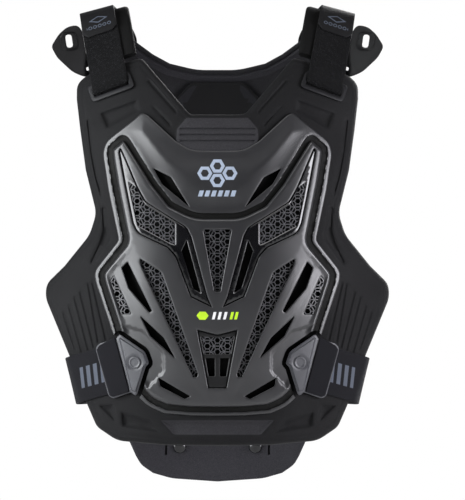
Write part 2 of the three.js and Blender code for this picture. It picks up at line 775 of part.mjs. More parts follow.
// Chest pad
function flutes(side) {
  return Array.from({ length: fluteCount }, (unused, i) => {
    const share = i / Math.max(fluteCount - 1, 1);
    const row = ({ near, far }) => near.map((value, k) => value + share * (far[k] - value));
    const [top, foot] = placed([row(fluteTops), row(fluteFeet)], padSize, side);
    const half = fluteWidth / 2;
    return [
      { x: top.x - half, z: top.z }, { x: top.x + half, z: top.z },
      { x: foot.x + half, z: foot.z }, { x: foot.x - half, z: foot.z },
    ];
  });
}

function collarRib(i) {
  const z = padTop - ((collarRibs.first + i * collarRibs.pitch) * padHeight) / 100;
  const [end, half] = [collarRibHalfLength, collarRibWidth / 2];
  return [{ x: -end, z: z - half }, { x: end, z: z - half }, { x: end, z: z + half }, { x: -end, z: z + half }];
}

function chestPad() {
  const outline = mirrored(padOutline, padSize);
  const grooves = [mirrored(padHemPanel, padSize)];
  for (let i = 0; i < collarRibCount; i += 1) grooves.push(collarRib(i));
  [1, -1].forEach((side) => {
    Object.values(padGrooves).forEach((groove) => grooves.push(placed(groove, padSize, side)));
    grooves.push(...flutes(side));
  });
  const region = stepped(outline, padEdgeTaper, padFace, {
    edgeHeight: padEdgeThickness,
    holes: [1, -1].map((side) => slotAt(frontSlot, side, holePlay)),
    inner: grooves.map((groove) => stepped(groove, grooveSlope, padFace - grooveDepth)),
  });
  return backedPlate(region, onChest, 0);
}

// Chest shell
const buckleCentre = placed([[buckleAcross, buckleDown]], shellSize, 1)[0];
const buttonCentre = (side) => ({ x: side * buckleCentre.x, z: buckleCentre.z });

const onBuckle = (table, side) =>
  table.map(([out, up, round = 0]) => ({
    x: side * (buckleCentre.x + (out * buckleWidth) / 100),
    z: buckleCentre.z + (up * buckleHeight) / 100,
    round,
  }));

function chestShell() {
  const channel = mirrored(channelOutline, shellSize);
  const both = (table) => [1, -1].map((side) => rounded(placed(table, shellSize, side)));
  const body = stepped(grown(channel, -channelWidth), channelSlope, bodyFace, {
    holes: [
      ...both(sideVent), ...both(longVent), ...both(smallVent), ...Object.values(shellSlots).flatMap(both),
      rounded(mirrored(centreVent, shellSize)), rounded(mirrored(lowerVent, shellSize)),
    ],
  });
  const region = {
    ring: rounded(mirrored(shellOutline, shellSize)),
    height: rimFace,
    holes: both(chestSlot),
    inner: [stepped(channel, channelSlope, channelFace, { inner: [body] })],
  };
  const shell = plate(region, onChest, (height) => Math.max(height - shellWall, shellSeat));
  const bites = [1, -1].map((side) => {
    const room = rounded(grown(onBuckle(buckleOutline, side), buckleClearance));
    return plate({ ring: room, height: bodyFace + shellWall }, onChest, () => shellSeat - shellWall);
  });
  return cutBy(shell, ...bites);
}

// A mesh plate glued under an opening of the shell
function ventPlate(corners) {
  const gaps = meshGaps(rounded(grown(corners, -seatGap)));
  const region = { ring: rounded(grown(corners, ventMargin)), height: ventFace, holes: gaps };
  return plate(region, onChest, (height) => height - ventPlateThickness);
}

// An insert that lies under the shell's opening with its edge and stands up into it
function ventInsert(opening, mesh, slots) {
  const raised = {
    edge: rounded(grown(opening, -seatGap)),
    ring: rounded(grown(opening, -seatGap - insertSlope)),
    height: insertFace,
    holes: [...meshGaps(mesh), ...slots],
  };
  const region = { ring: rounded(grown(opening, ventMargin)), height: ventFace, inner: [raised] };
  return plate(region, onChest, (height) => height - ventPlateThickness);
}

// Buckles
function buckle(side) {
  const hole = circle(buttonCentre(side), buckleShankRadius + holePlay);
  const region = {
    ring: rounded(onBuckle(buckleOutline, side)),
    height: buckleFrameFace,
    holes: [rounded(onBuckle(buckleOpening, side))],
    inner: [stepped(onBuckle(bucklePlate, side), bucklePlateSlope, bucklePlateFace, { holes: [hole] })],
  };
  return plate(region, onChest, () => buckleSeat);
}

const disc = (centre, radius, from, to, surface) =>
  plate({ ring: circle(centre, radius), height: to }, surface, () => from);

function buckleButton(side) {
  const seat = bucklePlateFace + seatGap;
  return joined(
    disc(buttonCentre(side), buckleShankRadius, shellSeat, seat + shankLap, onChest),
    disc(buttonCentre(side), buttonRadius, seat, seat + buttonThickness, onChest),
  );
}

// Shoulder webbing. Each end comes out of a slot in its pad, in front of the slot frame's upper bar.
const frontSlot = { x: padHalfWidth - frontSlotInset, z: frontSlotHeight };
const rearSlot = { x: backHalfWidth - rearSlotInset, z: rearSlotHeight };

function slotAt(centre, side, grow) {
  return rounded(slantedBox(centre, slotWidth + 2 * grow, slotOpening + 2 * grow, side, slotTilt, grow));
}

function slotFrame(slot, side, surface) {
  const region = {
    ring: slotAt(slot, side, slotFrameBar),
    height: slotFrameFace,
    holes: [slotAt(slot, side, 0)],
  };
  return plate(region, surface, () => shellSeat);
}

// A row of points across a strap that lies on a pad, at a height above the pad
function rowOnPad(side, slot, z, height, surface) {
  const tilt = THREE.MathUtils.degToRad(slotTilt);
  return strapColumns.map((share) => {
    const along = share * shoulderStrapWidth;
    return surface(side * (slot.x + along * Math.cos(tilt)), z - along * Math.sin(tilt), height);
  });
}

function strapOnPad(side, slot, top, surface) {
  const under = slot.z + (slotOpening / 2 - webbingGap) / Math.cos(THREE.MathUtils.degToRad(slotTilt));
  const over = slot.z + slotOpening / 2 + slotFrameBar + barClearance;
  const rows = [
    rowOnPad(side, slot, under + innerTail, -webbingGap, surface),
    rowOnPad(side, slot, under, -webbingGap, surface),
    rowOnPad(side, slot, under, strapSeat, surface),
  ];
  const count = Math.max(1, Math.round((top - over) / strapRowPitch));
  for (let i = 0; i <= count; i += 1) {
    rows.push(rowOnPad(side, slot, over + (i * (top - over)) / count, strapSeat, surface));
  }
  return rows;
}

// The stretch over the shoulder leaves each pad along the pad's own face and lies tilted at the top.
function strapRows(side) {
  const front = strapOnPad(side, frontSlot, frontSlotTop, onChest);
  const rear = strapOnPad(side, rearSlot, rearSlotTop, onBack);
  const apexRow = strapColumns.map((share) => {
    const tilt = THREE.MathUtils.degToRad(apexTilt);
    const along = share * shoulderStrapWidth;
    const across = side * (frontSlot.x + strapApexOut + along * Math.cos(tilt));
    return new THREE.Vector3(across, strapApexDepth, strapApexHeight - along * Math.sin(tilt));
  });
  const [frontFoot, rearFoot] = [front[front.length - 1], rear[rear.length - 1]];
  const leave = (rows) => rows[rows.length - 1].map((point, k) => point.clone().sub(rows[rows.length - 2][k]));
  const [rise, fall] = [leave(front), leave(rear)];
  const arcs = strapColumns.map((share, k) => {
    const flat = new THREE.Vector3(0, apexReach, 0);
    const up = new THREE.CubicBezierCurve3(
      frontFoot[k], frontFoot[k].clone().add(rise[k].setLength(frontRise)),
      apexRow[k].clone().sub(flat), apexRow[k],
    ).getPoints(archSteps);
    const down = new THREE.CubicBezierCurve3(
      apexRow[k], apexRow[k].clone().add(flat),
      rearFoot[k].clone().add(fall[k].setLength(rearRise)), rearFoot[k],
    ).getPoints(archSteps);
    return [...up, ...down.slice(1)];
  });
  const arch = arcs[0].map((unused, i) => arcs.map((points) => points[i]));
  return { front: front.slice(0, -1), arch, rear: rear.slice(0, -1).reverse() };
}

function shoulderStrap(side) {
  const { front, arch, rear } = strapRows(side);
  return strip([...front, ...arch, ...rear], webbingThickness, -side);
}

const lengthOf = (rows) =>
  rows.slice(1).reduce((sum, row, i) => sum + middleOf(row).distanceTo(middleOf(rows[i])), 0);

// The webbing's end comes back over the shoulder on top of itself and ends in front in a cut-off tip.
function strapTab(side) {
  const { arch } = strapRows(side);
  const apex = lengthOf(arch.slice(0, archSteps + 1));
  const onTop = lifted(arch, webbingThickness + seatGap, -side);
  const rows = portion(onTop, apex - tabReach, apex + rearTabReach);
  const body = portion(rows, tabChamfer, lengthOf(rows));
  return strip([narrowed(rows[0], tabChamfer), ...body], webbingThickness, -side);
}

// A foam pad under the webbing, from one pad's upper edge to the other's, reaching inwards past the webbing
// in front and growing narrower behind
function shoulderPad(side) {
  const { arch } = strapRows(side);
  const rows = lifted(arch, -shoulderPadThickness - webbingGap, -side).map((row, i) => {
    const across = row[row.length - 1].clone().sub(row[0]).divideScalar(shoulderStrapWidth);
    const behind = THREE.MathUtils.clamp((i - archSteps) / archSteps, 0, 1);
    const inner = THREE.MathUtils.lerp(shoulderPadInner, shoulderPadRearInner, behind);
    return [-inner, 0, shoulderPadOuter].map((length) => middleOf(row).addScaledVector(across, length));
  });
  const kept = portion(rows, shoulderPadEndGap, lengthOf(rows) - rearPadEndGap);
  return strip(kept, shoulderPadThickness, -side);
}

// The side webbing starts beside the button, runs over the chest pad to its edge, hangs free round the
// wearer's side, and ends on the back pad.
function sideStrap(side) {
  const fall = THREE.MathUtils.degToRad(sideStrapFall);
  const reach = (padHalfWidth - sideStrapLift - buckleCentre.x) / Math.cos(fall);
  const seatRows = Array.from({ length: sideSeatSteps + 1 }, (unused, i) =>
    THREE.MathUtils.lerp(sideStrapStart, reach, i / sideSeatSteps));
  const rearRows = Array.from({ length: rearSeatSteps + 1 }, (unused, i) => i * rearStrapInset);
  const lines = strapColumns.map((share) => {
    const up = share * sideStrapWidth;
    const onFront = seatRows.map((along) => {
      const x = buckleCentre.x + along * Math.cos(fall) + up * Math.sin(fall);
      return onChest(side * x, buckleCentre.z - along * Math.sin(fall) + up * Math.cos(fall), webbingSeat);
    });
    const onRear = rearRows.map((inset) =>
      onBack(side * (backHalfWidth - rearStrapEdge - inset), buckleCentre.z - sideStrapDrop + up,
        backThickness + webbingGap));
    const [edge, beforeEdge] = [onFront[sideSeatSteps], onFront[sideSeatSteps - 1]];
    const leave = edge.clone().sub(beforeEdge).setLength(sideStrapBulge);
    const arrive = onRear[0].clone().sub(onRear[1]).setLength(sideStrapBulge);
    const free = new THREE.CubicBezierCurve3(
      edge, edge.clone().add(leave), onRear[0].clone().add(arrive), onRear[0],
    ).getPoints(sideArchSteps);
    return [...onFront, ...free.slice(1), ...onRear.slice(1)];
  });
  return strip(lines[0].map((unused, i) => lines.map((line) => line[i])), webbingThickness, side);
}

// Back pad, lining and shell
const snapCentre = (side) => ({ x: side * snapAcross, z: snapHeight });

function backPad() {
  const tailSlot = { x: tailSlotAcross, z: snapHeight };
  const region = stepped(mirrored(backOutline, backSize), padEdgeTaper, backThickness, {
    edgeHeight: padEdgeThickness,
    holes: [1, -1].flatMap((side) => [
      slotAt(rearSlot, side, holePlay),
      circle(snapCentre(side), snapShank + holePlay),
      slantedBox(tailSlot, tailSlotWidth, tailSlotLength, side, 0),
    ]),
  });
  return plate(region, onBack, () => 0);
}

function backLining() {
  const region = { ring: rounded(mirrored(liningOutline, backSize)), height: -seatGap };
  return plate(region, onBack, (height) => height - liningThickness);
}

function backShell() {
  const outline = mirrored(backShellOutline, backShellSize);
  const seat = backThickness + seatGap;
  const region = {
    ring: rounded(outline),
    height: seat + shellWall,
    inner: [stepped(grown(outline, -backTierInset), backTierSlope, seat + shellWall + backShellRise)],
  };
  return plate(region, onBack, (height) => height - shellWall);
}

// A dome on the inner side of the back pad's tail, riveted through the pad
function tailSnap(side) {
  const outside = backThickness + seatGap;
  return joined(
    disc(snapCentre(side), snapRadius, -seatGap - snapDome, -seatGap, onBack),
    disc(snapCentre(side), snapShank, -seatGap - shankLap, outside + shankLap, onBack),
    disc(snapCentre(side), snapWasherRadius, outside, outside + snapWasherThickness, onBack),
  );
}

// A shoulder wing is riveted to the back pad and has an eyelet in a raised boss.
function shoulderWing(side) {
  const eyeletCentre = placed([eyeletSpot], wingSize, 1)[0];
  const at = (table) => rounded(placed(table, wingSize, side));
  const eyelet = rounded(slantedBox(eyeletCentre, eyeletWidth, eyeletHeight, side, eyeletTilt, eyeletRound));
  const boss = slantedBox(eyeletCentre, wingBossSize, wingBossSize, side, eyeletTilt, wingBossRound);
  const seat = backThickness + seatGap;
  const region = { ring: at(wingOutline), height: seat, holes: [at(wingStrapSlot)], inner: [
    stepped(boss, wingBossSlope, seat - wingBossRise, { holes: [eyelet] }),
  ] };
  return plate(region, onBack, () => seat + wingThickness);
}

// The assembly
const looks = {
  foam: { color: 0x2a2a2c, roughness: 0.85, metalness: 0 },
  lining: { color: 0x1c1c1f, roughness: 0.95, metalness: 0 },
  shell: { color: 0x47474c, roughness: 0.25, metalness: 0 },
  blackPlastic: { color: 0x17171a, roughness: 0.4, metalness: 0 },
  buckle: { color: 0x6a6b72, roughness: 0.35, metalness: 0 },
  webbing: { color: 0x1b1b1e, roughness: 0.95, metalness: 0 },
  loopWebbing: { color: 0x141416, roughness: 1, metalness: 0 },
  snap: { color: 0x101012, roughness: 0.2, metalness: 0.3 },
};

const deflector = new THREE.Group();
deflector.name = "roost_deflector";

function add(name, geometry, look) {
  const mesh = new THREE.Mesh(geometry, new THREE.MeshStandardMaterial(looks[look]));
  mesh.name = name;
  deflector.add(mesh);
}

add("chest_pad", chestPad(), "foam");
add("chest_shell", chestShell(), "shell");
add("centre_vent_mesh", ventPlate(mirrored(centreVent, shellSize)), "blackPlastic");
add("lower_vent_insert", ventInsert(
  mirrored(lowerVent, shellSize),
  mirrored(lowerVentMesh, shellSize),
  [1, -1].map((side) => rounded(placed(lowerVentSlot, shellSize, side))),
), "blackPlastic");
add("back_pad", backPad(), "foam");
add("back_lining", backLining(), "lining");
add("back_shell", backShell(), "blackPlastic");

[["left", 1], ["right", -1]].forEach(([name, side]) => {
  add("side_vent_insert_" + name, ventInsert(
    placed(sideVent, shellSize, side),
    placed(sideVentMesh, shellSize, side),
    [rounded(placed(sideVentSlot, shellSize, side))],
  ), "blackPlastic");
  add("long_vent_mesh_" + name, ventPlate(placed(longVent, shellSize, side)), "blackPlastic");
  add("small_vent_mesh_" + name, ventPlate(placed(smallVent, shellSize, side)), "blackPlastic");
  add("buckle_" + name, buckle(side), "buckle");
  add("buckle_button_" + name, buckleButton(side), "buckle");
  add("side_strap_" + name, sideStrap(side), "webbing");
  add("front_strap_frame_" + name, slotFrame(frontSlot, side, onChest), "blackPlastic");
  add("rear_strap_frame_" + name, slotFrame(rearSlot, side, onBack), "blackPlastic");
  add("shoulder_strap_" + name, shoulderStrap(side), "loopWebbing");
  add("strap_tab_" + name, strapTab(side), "webbing");
  add("shoulder_pad_" + name, shoulderPad(side), "foam");
  add("shoulder_wing_" + name, shoulderWing(side), "blackPlastic");
  add("tail_snap_" + name, tailSnap(side), "snap");
});

export default deflector;
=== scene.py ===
# A motocross roost deflector as worn: moulded foam pads, a vented smoke grey shell, webbing and buckles.
import math

import bpy
import numpy as np
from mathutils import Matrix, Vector
from mathutils.geometry import delaunay_2d_cdt
from mathutils.kdtree import KDTree


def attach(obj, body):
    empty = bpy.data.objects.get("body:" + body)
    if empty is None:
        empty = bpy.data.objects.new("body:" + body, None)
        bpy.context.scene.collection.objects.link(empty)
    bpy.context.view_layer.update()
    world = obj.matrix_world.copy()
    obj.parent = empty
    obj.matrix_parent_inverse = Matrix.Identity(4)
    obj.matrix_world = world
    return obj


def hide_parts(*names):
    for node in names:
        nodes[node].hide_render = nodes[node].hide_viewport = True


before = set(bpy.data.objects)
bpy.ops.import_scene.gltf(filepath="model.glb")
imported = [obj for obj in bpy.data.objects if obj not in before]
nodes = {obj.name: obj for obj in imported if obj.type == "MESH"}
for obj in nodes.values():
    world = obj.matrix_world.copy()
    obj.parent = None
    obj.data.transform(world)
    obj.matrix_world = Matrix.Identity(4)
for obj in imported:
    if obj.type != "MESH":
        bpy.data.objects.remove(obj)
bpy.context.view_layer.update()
print("frame loaded:", len(nodes), "nodes")

# Every length below is in millimetres, and meshes are written in metres.
metre = 0.001
sides = {"left": 1, "right": -1}

# How the two pads lie round the trunk. A profile row is a share of a pad's height and of its depth.
trunk = {"chestDepth": 118, "backDepth": 112, "sideWrap": 90, "wrapWidth": 186.5, "wrapPower": 2.2}
chestProfile = [
    (-0.15, 0.35), (0, 0.6), (0.086, 0.78), (0.205, 0.915),
    (0.37, 1), (0.61, 1), (0.85, 0.93), (1, 0.88),
]
backProfile = [
    (-0.05, 0.45), (0, 0.6), (0.085, 0.8), (0.185, 0.95), (0.346, 1.02),
    (0.547, 0.97), (0.708, 0.89), (0.869, 0.88), (1, 0.95),
]

# Half width, height and top of each piece that has a corner table. A corner is a share of the half width, a
# share of the height below the top, both in hundredths, and the length that its round takes from each side.
padSize = (186.5, 420, -44)
shellSize = (132.5, 327, -105)
backSize = (138, 497, -8)
backShellSize = (100, 330, -116)
wingSize = (180.5, 62.5, -8.5)


def readProfile(profile, down):
    downs, depths = np.array(profile).T
    slopes = np.empty(len(downs))
    slopes[1:-1] = (depths[2:] - depths[:-2]) / (downs[2:] - downs[:-2])
    slopes[0] = (depths[1] - depths[0]) / (downs[1] - downs[0])
    slopes[-1] = (depths[-1] - depths[-2]) / (downs[-1] - downs[-2])
    at = np.clip(down, downs[0], downs[-1])
    i = np.clip(np.searchsorted(downs, at) - 1, 0, len(downs) - 2)
    span = downs[i + 1] - downs[i]
    t = (at - downs[i]) / span
    t2, t3 = t * t, t * t * t
    return ((2 * t3 - 3 * t2 + 1) * depths[i] + (t3 - 2 * t2 + t) * span * slopes[i]
            + (3 * t2 - 2 * t3) * depths[i + 1] + (t3 - t2) * span * slopes[i + 1])


def wrapAt(x):
    return trunk["sideWrap"] * (np.abs(x) / trunk["wrapWidth"]) ** trunk["wrapPower"]


def onChest(x, z, height):
    x, z, height = np.broadcast_arrays(x, z, height)
    depth = trunk["chestDepth"] * readProfile(chestProfile, (padSize[2] - z) / padSize[1])
    return np.stack([x, wrapAt(x) - depth - height, z], -1)


def onBack(x, z, height):
    x, z, height = np.broadcast_arrays(x, z, height)
    depth = trunk["backDepth"] * readProfile(backProfile, (backSize[2] - z) / backSize[1])
    return np.stack([x, depth - wrapAt(x) + height, z], -1)


# Rings: closed outlines in the front view, as arrays of x and z

def placed(table, size, side=1):
    half, height, top = size
    return [(side * a * half / 100, top - d * height / 100, *rest) for a, d, *rest in table]


def mirrored(table, size):
    right = placed(table, size)
    left = [c for c in reversed(placed(table, size, -1)) if abs(c[0]) > 1e-6]
    return right + left


# Rounds the corners, and puts points along the straight stretches.
def rounded(corners, step=2.5, sharp=0.0):
    points = []
    count = len(corners)
    for i, (x, z, *rest) in enumerate(corners):
        here = np.array([x, z], float)
        radius = max(rest[0] if rest else 0, sharp)
        ways = [np.array(corners[(i + k) % count][:2], float) - here for k in (-1, 1)]
        lengths = [np.hypot(*way) for way in ways]
        if not radius:
            points.append(here)
            continue
        reach = [min(radius, 0.45 * length) for length in lengths]
        start, end = [here + way / length * r for way, length, r in zip(ways, lengths, reach)]
        t = np.linspace(0, 1, int(np.clip(radius, 3, 9)))[:, None]
        points.extend((1 - t) ** 2 * start + 2 * t * (1 - t) * here + t ** 2 * end)
    return spaced(np.array(points), step)


# The same ring with no two neighbours further apart than the step, and none on one spot.
def spaced(ring, step):
    after = np.roll(ring, -1, 0)
    out = []
    for a, b in zip(ring, after):
        length = np.hypot(*(b - a))
        if length < 0.02:
            continue
        pieces = max(1, math.ceil(length / step))
        out.extend(a + (b - a) * k / pieces for k in range(pieces))
    return np.array(out)


def areaOf(ring):
    x, z = ring.T
    return 0.5 * np.sum(x * np.roll(z, -1) - np.roll(x, -1) * z)


# Distance to a ring, above zero inside it.
def signedDistance(points, ring):
    a = ring
    d = np.roll(ring, -1, 0) - a
    lengths = np.maximum((d * d).sum(1), 1e-12)
    rise = np.where(d[:, 1] == 0, 1, d[:, 1])
    found = np.empty(len(points))
    for start in range(0, len(points), 3000):
        p = points[start:start + 3000, None]
        t = np.clip(((p - a) * d).sum(2) / lengths, 0, 1)
        gap = p - a - t[..., None] * d
        distance = np.sqrt((gap ** 2).sum(2).min(1))
        above = a[:, 1] > p[..., 1]
        aboveNext = (a + d)[:, 1] > p[..., 1]
        cross = (above != aboveNext) & (p[..., 0] < d[:, 0] * (p[..., 1] - a[:, 1]) / rise + a[:, 0])
        found[start:start + 3000] = np.where(cross.sum(1) % 2 == 1, distance, -distance)
    return found


# The same, but only worked out for points within a reach of the ring's box.
def nearDistance(points, ring, reach):
    low, high = ring.min(0) - reach, ring.max(0) + reach
    near = ((points >= low) & (points <= high)).all(1)
    found = np.full(len(points), -float(reach))
    if near.any():
        found[near] = signedDistance(points[near], ring)
    return found


# A ring moved inwards, or outwards where the distance is negative, without the loops at tight corners.
def inset(ring, distance):
    turn = np.sign(areaOf(ring))
    along = np.roll(ring, -1, 0) - np.roll(ring, 1, 0)
    along /= np.maximum(np.hypot(*along.T), 1e-9)[:, None]
    moved = ring + distance * turn * np.stack([-along[:, 1], along[:, 0]], 1)
    kept = moved[np.abs(signedDistance(moved, ring)) > 0.93 * abs(distance)]
    return kept if len(kept) > 5 else ring


# Rings that a rounded edge needs; a radius below zero is for the edge of a hole.
def roundingRings(ring, radius):
    return [inset(ring, share * radius) for share in (0.075, 0.25, 0.56, 1)]


def smooth(t):
    t = np.clip(t, 0, 1)
    return t * t * (3 - 2 * t)


def roundOver(t):
    t = np.clip(t, 0, 1)
    return np.sqrt(1 - (1 - t) ** 2)


# Meshes

def meshOf(name, points, faces, material=None, sharpAngle=38, uv=None, slots=None, extra=()):
    mesh = bpy.data.meshes.new(name)
    mesh.from_pydata((np.asarray(points) * metre).tolist(), [], faces)
    for each in [material, *extra]:
        mesh.materials.append(each)
    if slots is not None:
        mesh.polygons.foreach_set("material_index", np.asarray(slots, np.int32))
    if uv is not None:
        layer = mesh.uv_layers.new(name="UVMap")
        corners = np.empty(len(mesh.loops), np.int32)
        mesh.loops.foreach_get("vertex_index", corners)
        layer.data.foreach_set("uv", np.asarray(uv, np.float32)[corners].ravel())
    mesh.shade_smooth()
    mesh.set_sharp_from_angle(angle=math.radians(sharpAngle))
    mesh.update()
    piece = bpy.data.objects.new(name, mesh)
    bpy.context.scene.collection.objects.link(piece)
    return piece


# Triangles inside the outline and round the holes, with edges along every line.
def layOut(outline, holes=(), lines=(), spacing=3.0):
    rings = [outline, *holes, *lines]
    points = np.concatenate(rings)
    edges = []
    first = 0
    for ring in rings:
        edges += [(first + k, first + (k + 1) % len(ring)) for k in range(len(ring))]
        first += len(ring)
    tree = KDTree(len(points))
    for i, (x, z) in enumerate(points):
        tree.insert((x, z, 0), i)
    tree.balance()
    low, high = outline.min(0), outline.max(0)
    rows = int((high[1] - low[1]) / (spacing * 0.866)) + 2
    columns = int((high[0] - low[0]) / spacing) + 2
    grid = np.array([
        (low[0] + (column + 0.5 * (row % 2)) * spacing, low[1] + row * spacing * 0.866)
        for row in range(rows) for column in range(columns)
    ])
    keep = signedDistance(grid, outline) > 0.4 * spacing
    for hole in holes:
        keep &= nearDistance(grid, hole, 2 * spacing) < -0.4 * spacing
    grid = grid[keep]
    grid = np.array([p for p in grid if tree.find((p[0], p[1], 0))[2] > 0.55 * spacing]).reshape(-1, 2)
    every = [Vector(p) for p in np.concatenate([points, grid])]
    found, _, faces, *_ = delaunay_2d_cdt(every, edges, [], 0, 1e-4)
    xz = np.array([tuple(p) for p in found])
    triangles = np.array(faces)
    middle = xz[triangles].mean(1)
    keep = signedDistance(middle, outline) > 0
    for hole in holes:
        keep &= nearDistance(middle, hole, 1) < 0
    triangles = triangles[keep]
    a, b, c = xz[triangles[:, 0]], xz[triangles[:, 1]], xz[triangles[:, 2]]
    area = (b - a)[:, 0] * (c - a)[:, 1] - (b - a)[:, 1] * (c - a)[:, 0]
    triangles = triangles[np.abs(area) > 1e-5]
    area = area[np.abs(area) > 1e-5]
    triangles[area < 0] = triangles[area < 0][:, ::-1]
    used = np.unique(triangles)
    renumber = np.full(len(xz), -1)
    renumber[used] = np.arange(len(used))
    return xz[used], renumber[triangles]


# A solid sheet on a curved surface. Each height is an array, with a number for each point of the layout,
# or one number for them all.
def plate(name, layout, top, bottom, surface, material, paint=None, extra=(), sharpAngle=38, inner=None):
    xz, triangles = layout
    count = len(xz)
    bottom = np.minimum(bottom, top - 0.05)
    points = np.concatenate([surface(xz[:, 0], xz[:, 1], top), surface(xz[:, 0], xz[:, 1], bottom)])
    edges = np.concatenate([triangles[:, [0, 1]], triangles[:, [1, 2]], triangles[:, [2, 0]]])
    key = edges.min(1) * count + edges.max(1)
    _, index, uses = np.unique(key, return_index=True, return_counts=True)
    rim = edges[index[uses == 1]]
    flip = surface is onChest  # the front pieces face the other way
    face = triangles if flip else triangles[:, ::-1]
    under = face[:, ::-1] + count
    if flip:
        walls = np.stack([rim[:, 1], rim[:, 0], rim[:, 0] + count, rim[:, 1] + count], 1)
    else:
        walls = np.stack([rim[:, 0], rim[:, 1], rim[:, 1] + count, rim[:, 0] + count], 1)
    faces = [*face.tolist(), *under.tolist(), *walls.tolist()]
    slots = None
    if paint or inner:
        middle = xz[triangles].mean(1)
        plain = np.zeros(len(triangles), int)
        slots = np.concatenate([paint(middle) if paint else plain, inner(middle) if inner else plain,
                                np.zeros(len(walls), int)])
    return meshOf(name, points, faces, material, sharpAngle, slots=slots, extra=extra)


# A strip with soft long edges. Rows is an array of [row][column] points on its near face.
def ribbon(name, rows, thickness, turn, material, edge=0.35, lip=0.9):
    rows = np.asarray(rows, float)
    along = np.gradient(rows, axis=0)
    across = np.gradient(rows, axis=1)
    normals = np.cross(along, across)
    normals *= turn / np.linalg.norm(normals, axis=2)[..., None]
    widths = np.concatenate([[0], np.cumsum(np.linalg.norm(np.diff(rows[len(rows) // 2], axis=0), axis=1))])
    fromEdge = np.minimum(widths, widths[-1] - widths)
    soft = edge * thickness * (1 - roundOver(fromEdge / lip))
    near = rows + normals * soft[None, :, None]
    far = rows + normals * (thickness - soft)[None, :, None]
    loops = np.concatenate([near, far[:, ::-1]], 1)
    count, size = loops.shape[:2]
    faces = []
    for i in range(count - 1):
        for k in range(size):
            a, b = i * size + k, i * size + (k + 1) % size
            faces.append((a, b, b + size, a + size))
    first = list(range(size))
    last = [(count - 1) * size + k for k in reversed(range(size))]
    for loop in (first, last):
        for k in range(size // 2 - 1):
            faces.append((loop[k], loop[size - 1 - k], loop[size - 2 - k], loop[k + 1]))
    lengths = np.concatenate([[0], np.cumsum(np.linalg.norm(np.diff(rows.mean(1), axis=0), axis=1))])
    uv = np.zeros((count, size, 2))
    uv[..., 0] = np.concatenate([widths, widths[::-1]])[None]
    uv[..., 1] = lengths[:, None]
    points = loops.reshape(-1, 3)
    volume = sum(np.dot(points[f[0]], np.cross(points[f[1]], points[f[2]])) for f in faces)
    if volume < 0:
        faces = [f[::-1] for f in faces]
    return meshOf(name, points, faces, material, 50, uv=uv.reshape(-1, 2) * metre)


def finished(piece, slot, *replaced, fill=None):
    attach(piece, "root")
    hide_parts(*replaced)
    return piece


# Materials

# A material with its node tree and its principled shader.
def shader(name, colour, roughness, **sockets):
    material = bpy.data.materials.new(name)
    material.use_nodes = True
    tree = material.node_tree
    bsdf = tree.nodes["Principled BSDF"]
    bsdf.inputs["Base Color"].default_value = (*colour, 1)
    bsdf.inputs["Roughness"].default_value = roughness
    for key, value in sockets.items():
        bsdf.inputs[key].default_value = value
    return material, tree, bsdf


def noise(tree, scale, detail):
    texture = tree.nodes.new("ShaderNodeTexNoise")
    texture.inputs["Scale"].default_value = scale
    texture.inputs["Detail"].default_value = detail
    tree.links.new(tree.nodes.new("ShaderNodeTexCoord").outputs["Object"], texture.inputs["Vector"])
    return texture.outputs["Fac"]


def ramp(tree, factor, stops):
    node = tree.nodes.new("ShaderNodeValToRGB")
    while len(node.color_ramp.elements) < len(stops):
        node.color_ramp.elements.new(0.5)
    for element, (place, colour) in zip(node.color_ramp.elements, stops):
        element.position = place
        element.color = (*colour, 1) if hasattr(colour, "__len__") else (colour, colour, colour, 1)
    tree.links.new(factor, node.inputs["Fac"])
    return node.outputs["Color"]


def bump(tree, bsdf, height, strength, distance, after=None):
    node = tree.nodes.new("ShaderNodeBump")
    node.inputs["Strength"].default_value = strength
    node.inputs["Distance"].default_value = distance
    tree.links.new(height, node.inputs["Height"])
    if after:
        tree.links.new(after.outputs["Normal"], node.inputs["Normal"])
    tree.links.new(node.outputs["Normal"], bsdf.inputs["Normal"])
    return node


def maths(tree, operation, a, b=None):
    node = tree.nodes.new("ShaderNodeMath")
    node.operation = operation
    for socket, value in zip(node.inputs, (a, b)):
        if value is None:
            continue
        if isinstance(value, (int, float)):
            socket.default_value = value
        else:
            tree.links.new(value, socket)
    return node.outputs[0]


def foamMaterial(name, dark, light, sheen=0.02, specular=0.16):
    sockets = {"Sheen Weight": sheen, "Specular IOR Level": specular}
    material, tree, bsdf = shader(name, light, 0.72, **sockets)
    tree.links.new(ramp(tree, noise(tree, 1500, 4), [(0.35, dark), (0.7, light)]), bsdf.inputs["Base Color"])
    tree.links.new(ramp(tree, noise(tree, 14, 2), [(0.3, 0.66), (0.7, 0.8)]), bsdf.inputs["Roughness"])
    coarse = bump(tree, bsdf, noise(tree, 260, 2), 0.12, 0.0006)
    bump(tree, bsdf, noise(tree, 2300, 3), 0.3, 0.0003, coarse)
    return material


def plasticMaterial(name, colour, roughness, grain=0.05, scale=900, coat=0.0, uneven=0.05, coatRoughness=0.1,
                    specular=0.5):
    sockets = {"Coat Weight": coat, "Coat Roughness": coatRoughness, "Specular IOR Level": specular}
    material, tree, bsdf = shader(name, colour, roughness, **sockets)
    low, high = max(roughness - uneven, 0.03), roughness + uneven
    tree.links.new(ramp(tree, noise(tree, 22, 3), [(0.35, low), (0.65, high)]), bsdf.inputs["Roughness"])
    darker, lighter = [tuple(v * share for v in colour) for share in (0.9, 1.08)]
    tree.links.new(ramp(tree, noise(tree, 60, 3), [(0.3, darker), (0.7, lighter)]), bsdf.inputs["Base Color"])
    bump(tree, bsdf, noise(tree, scale, 3), grain, 0.0002)
    return material


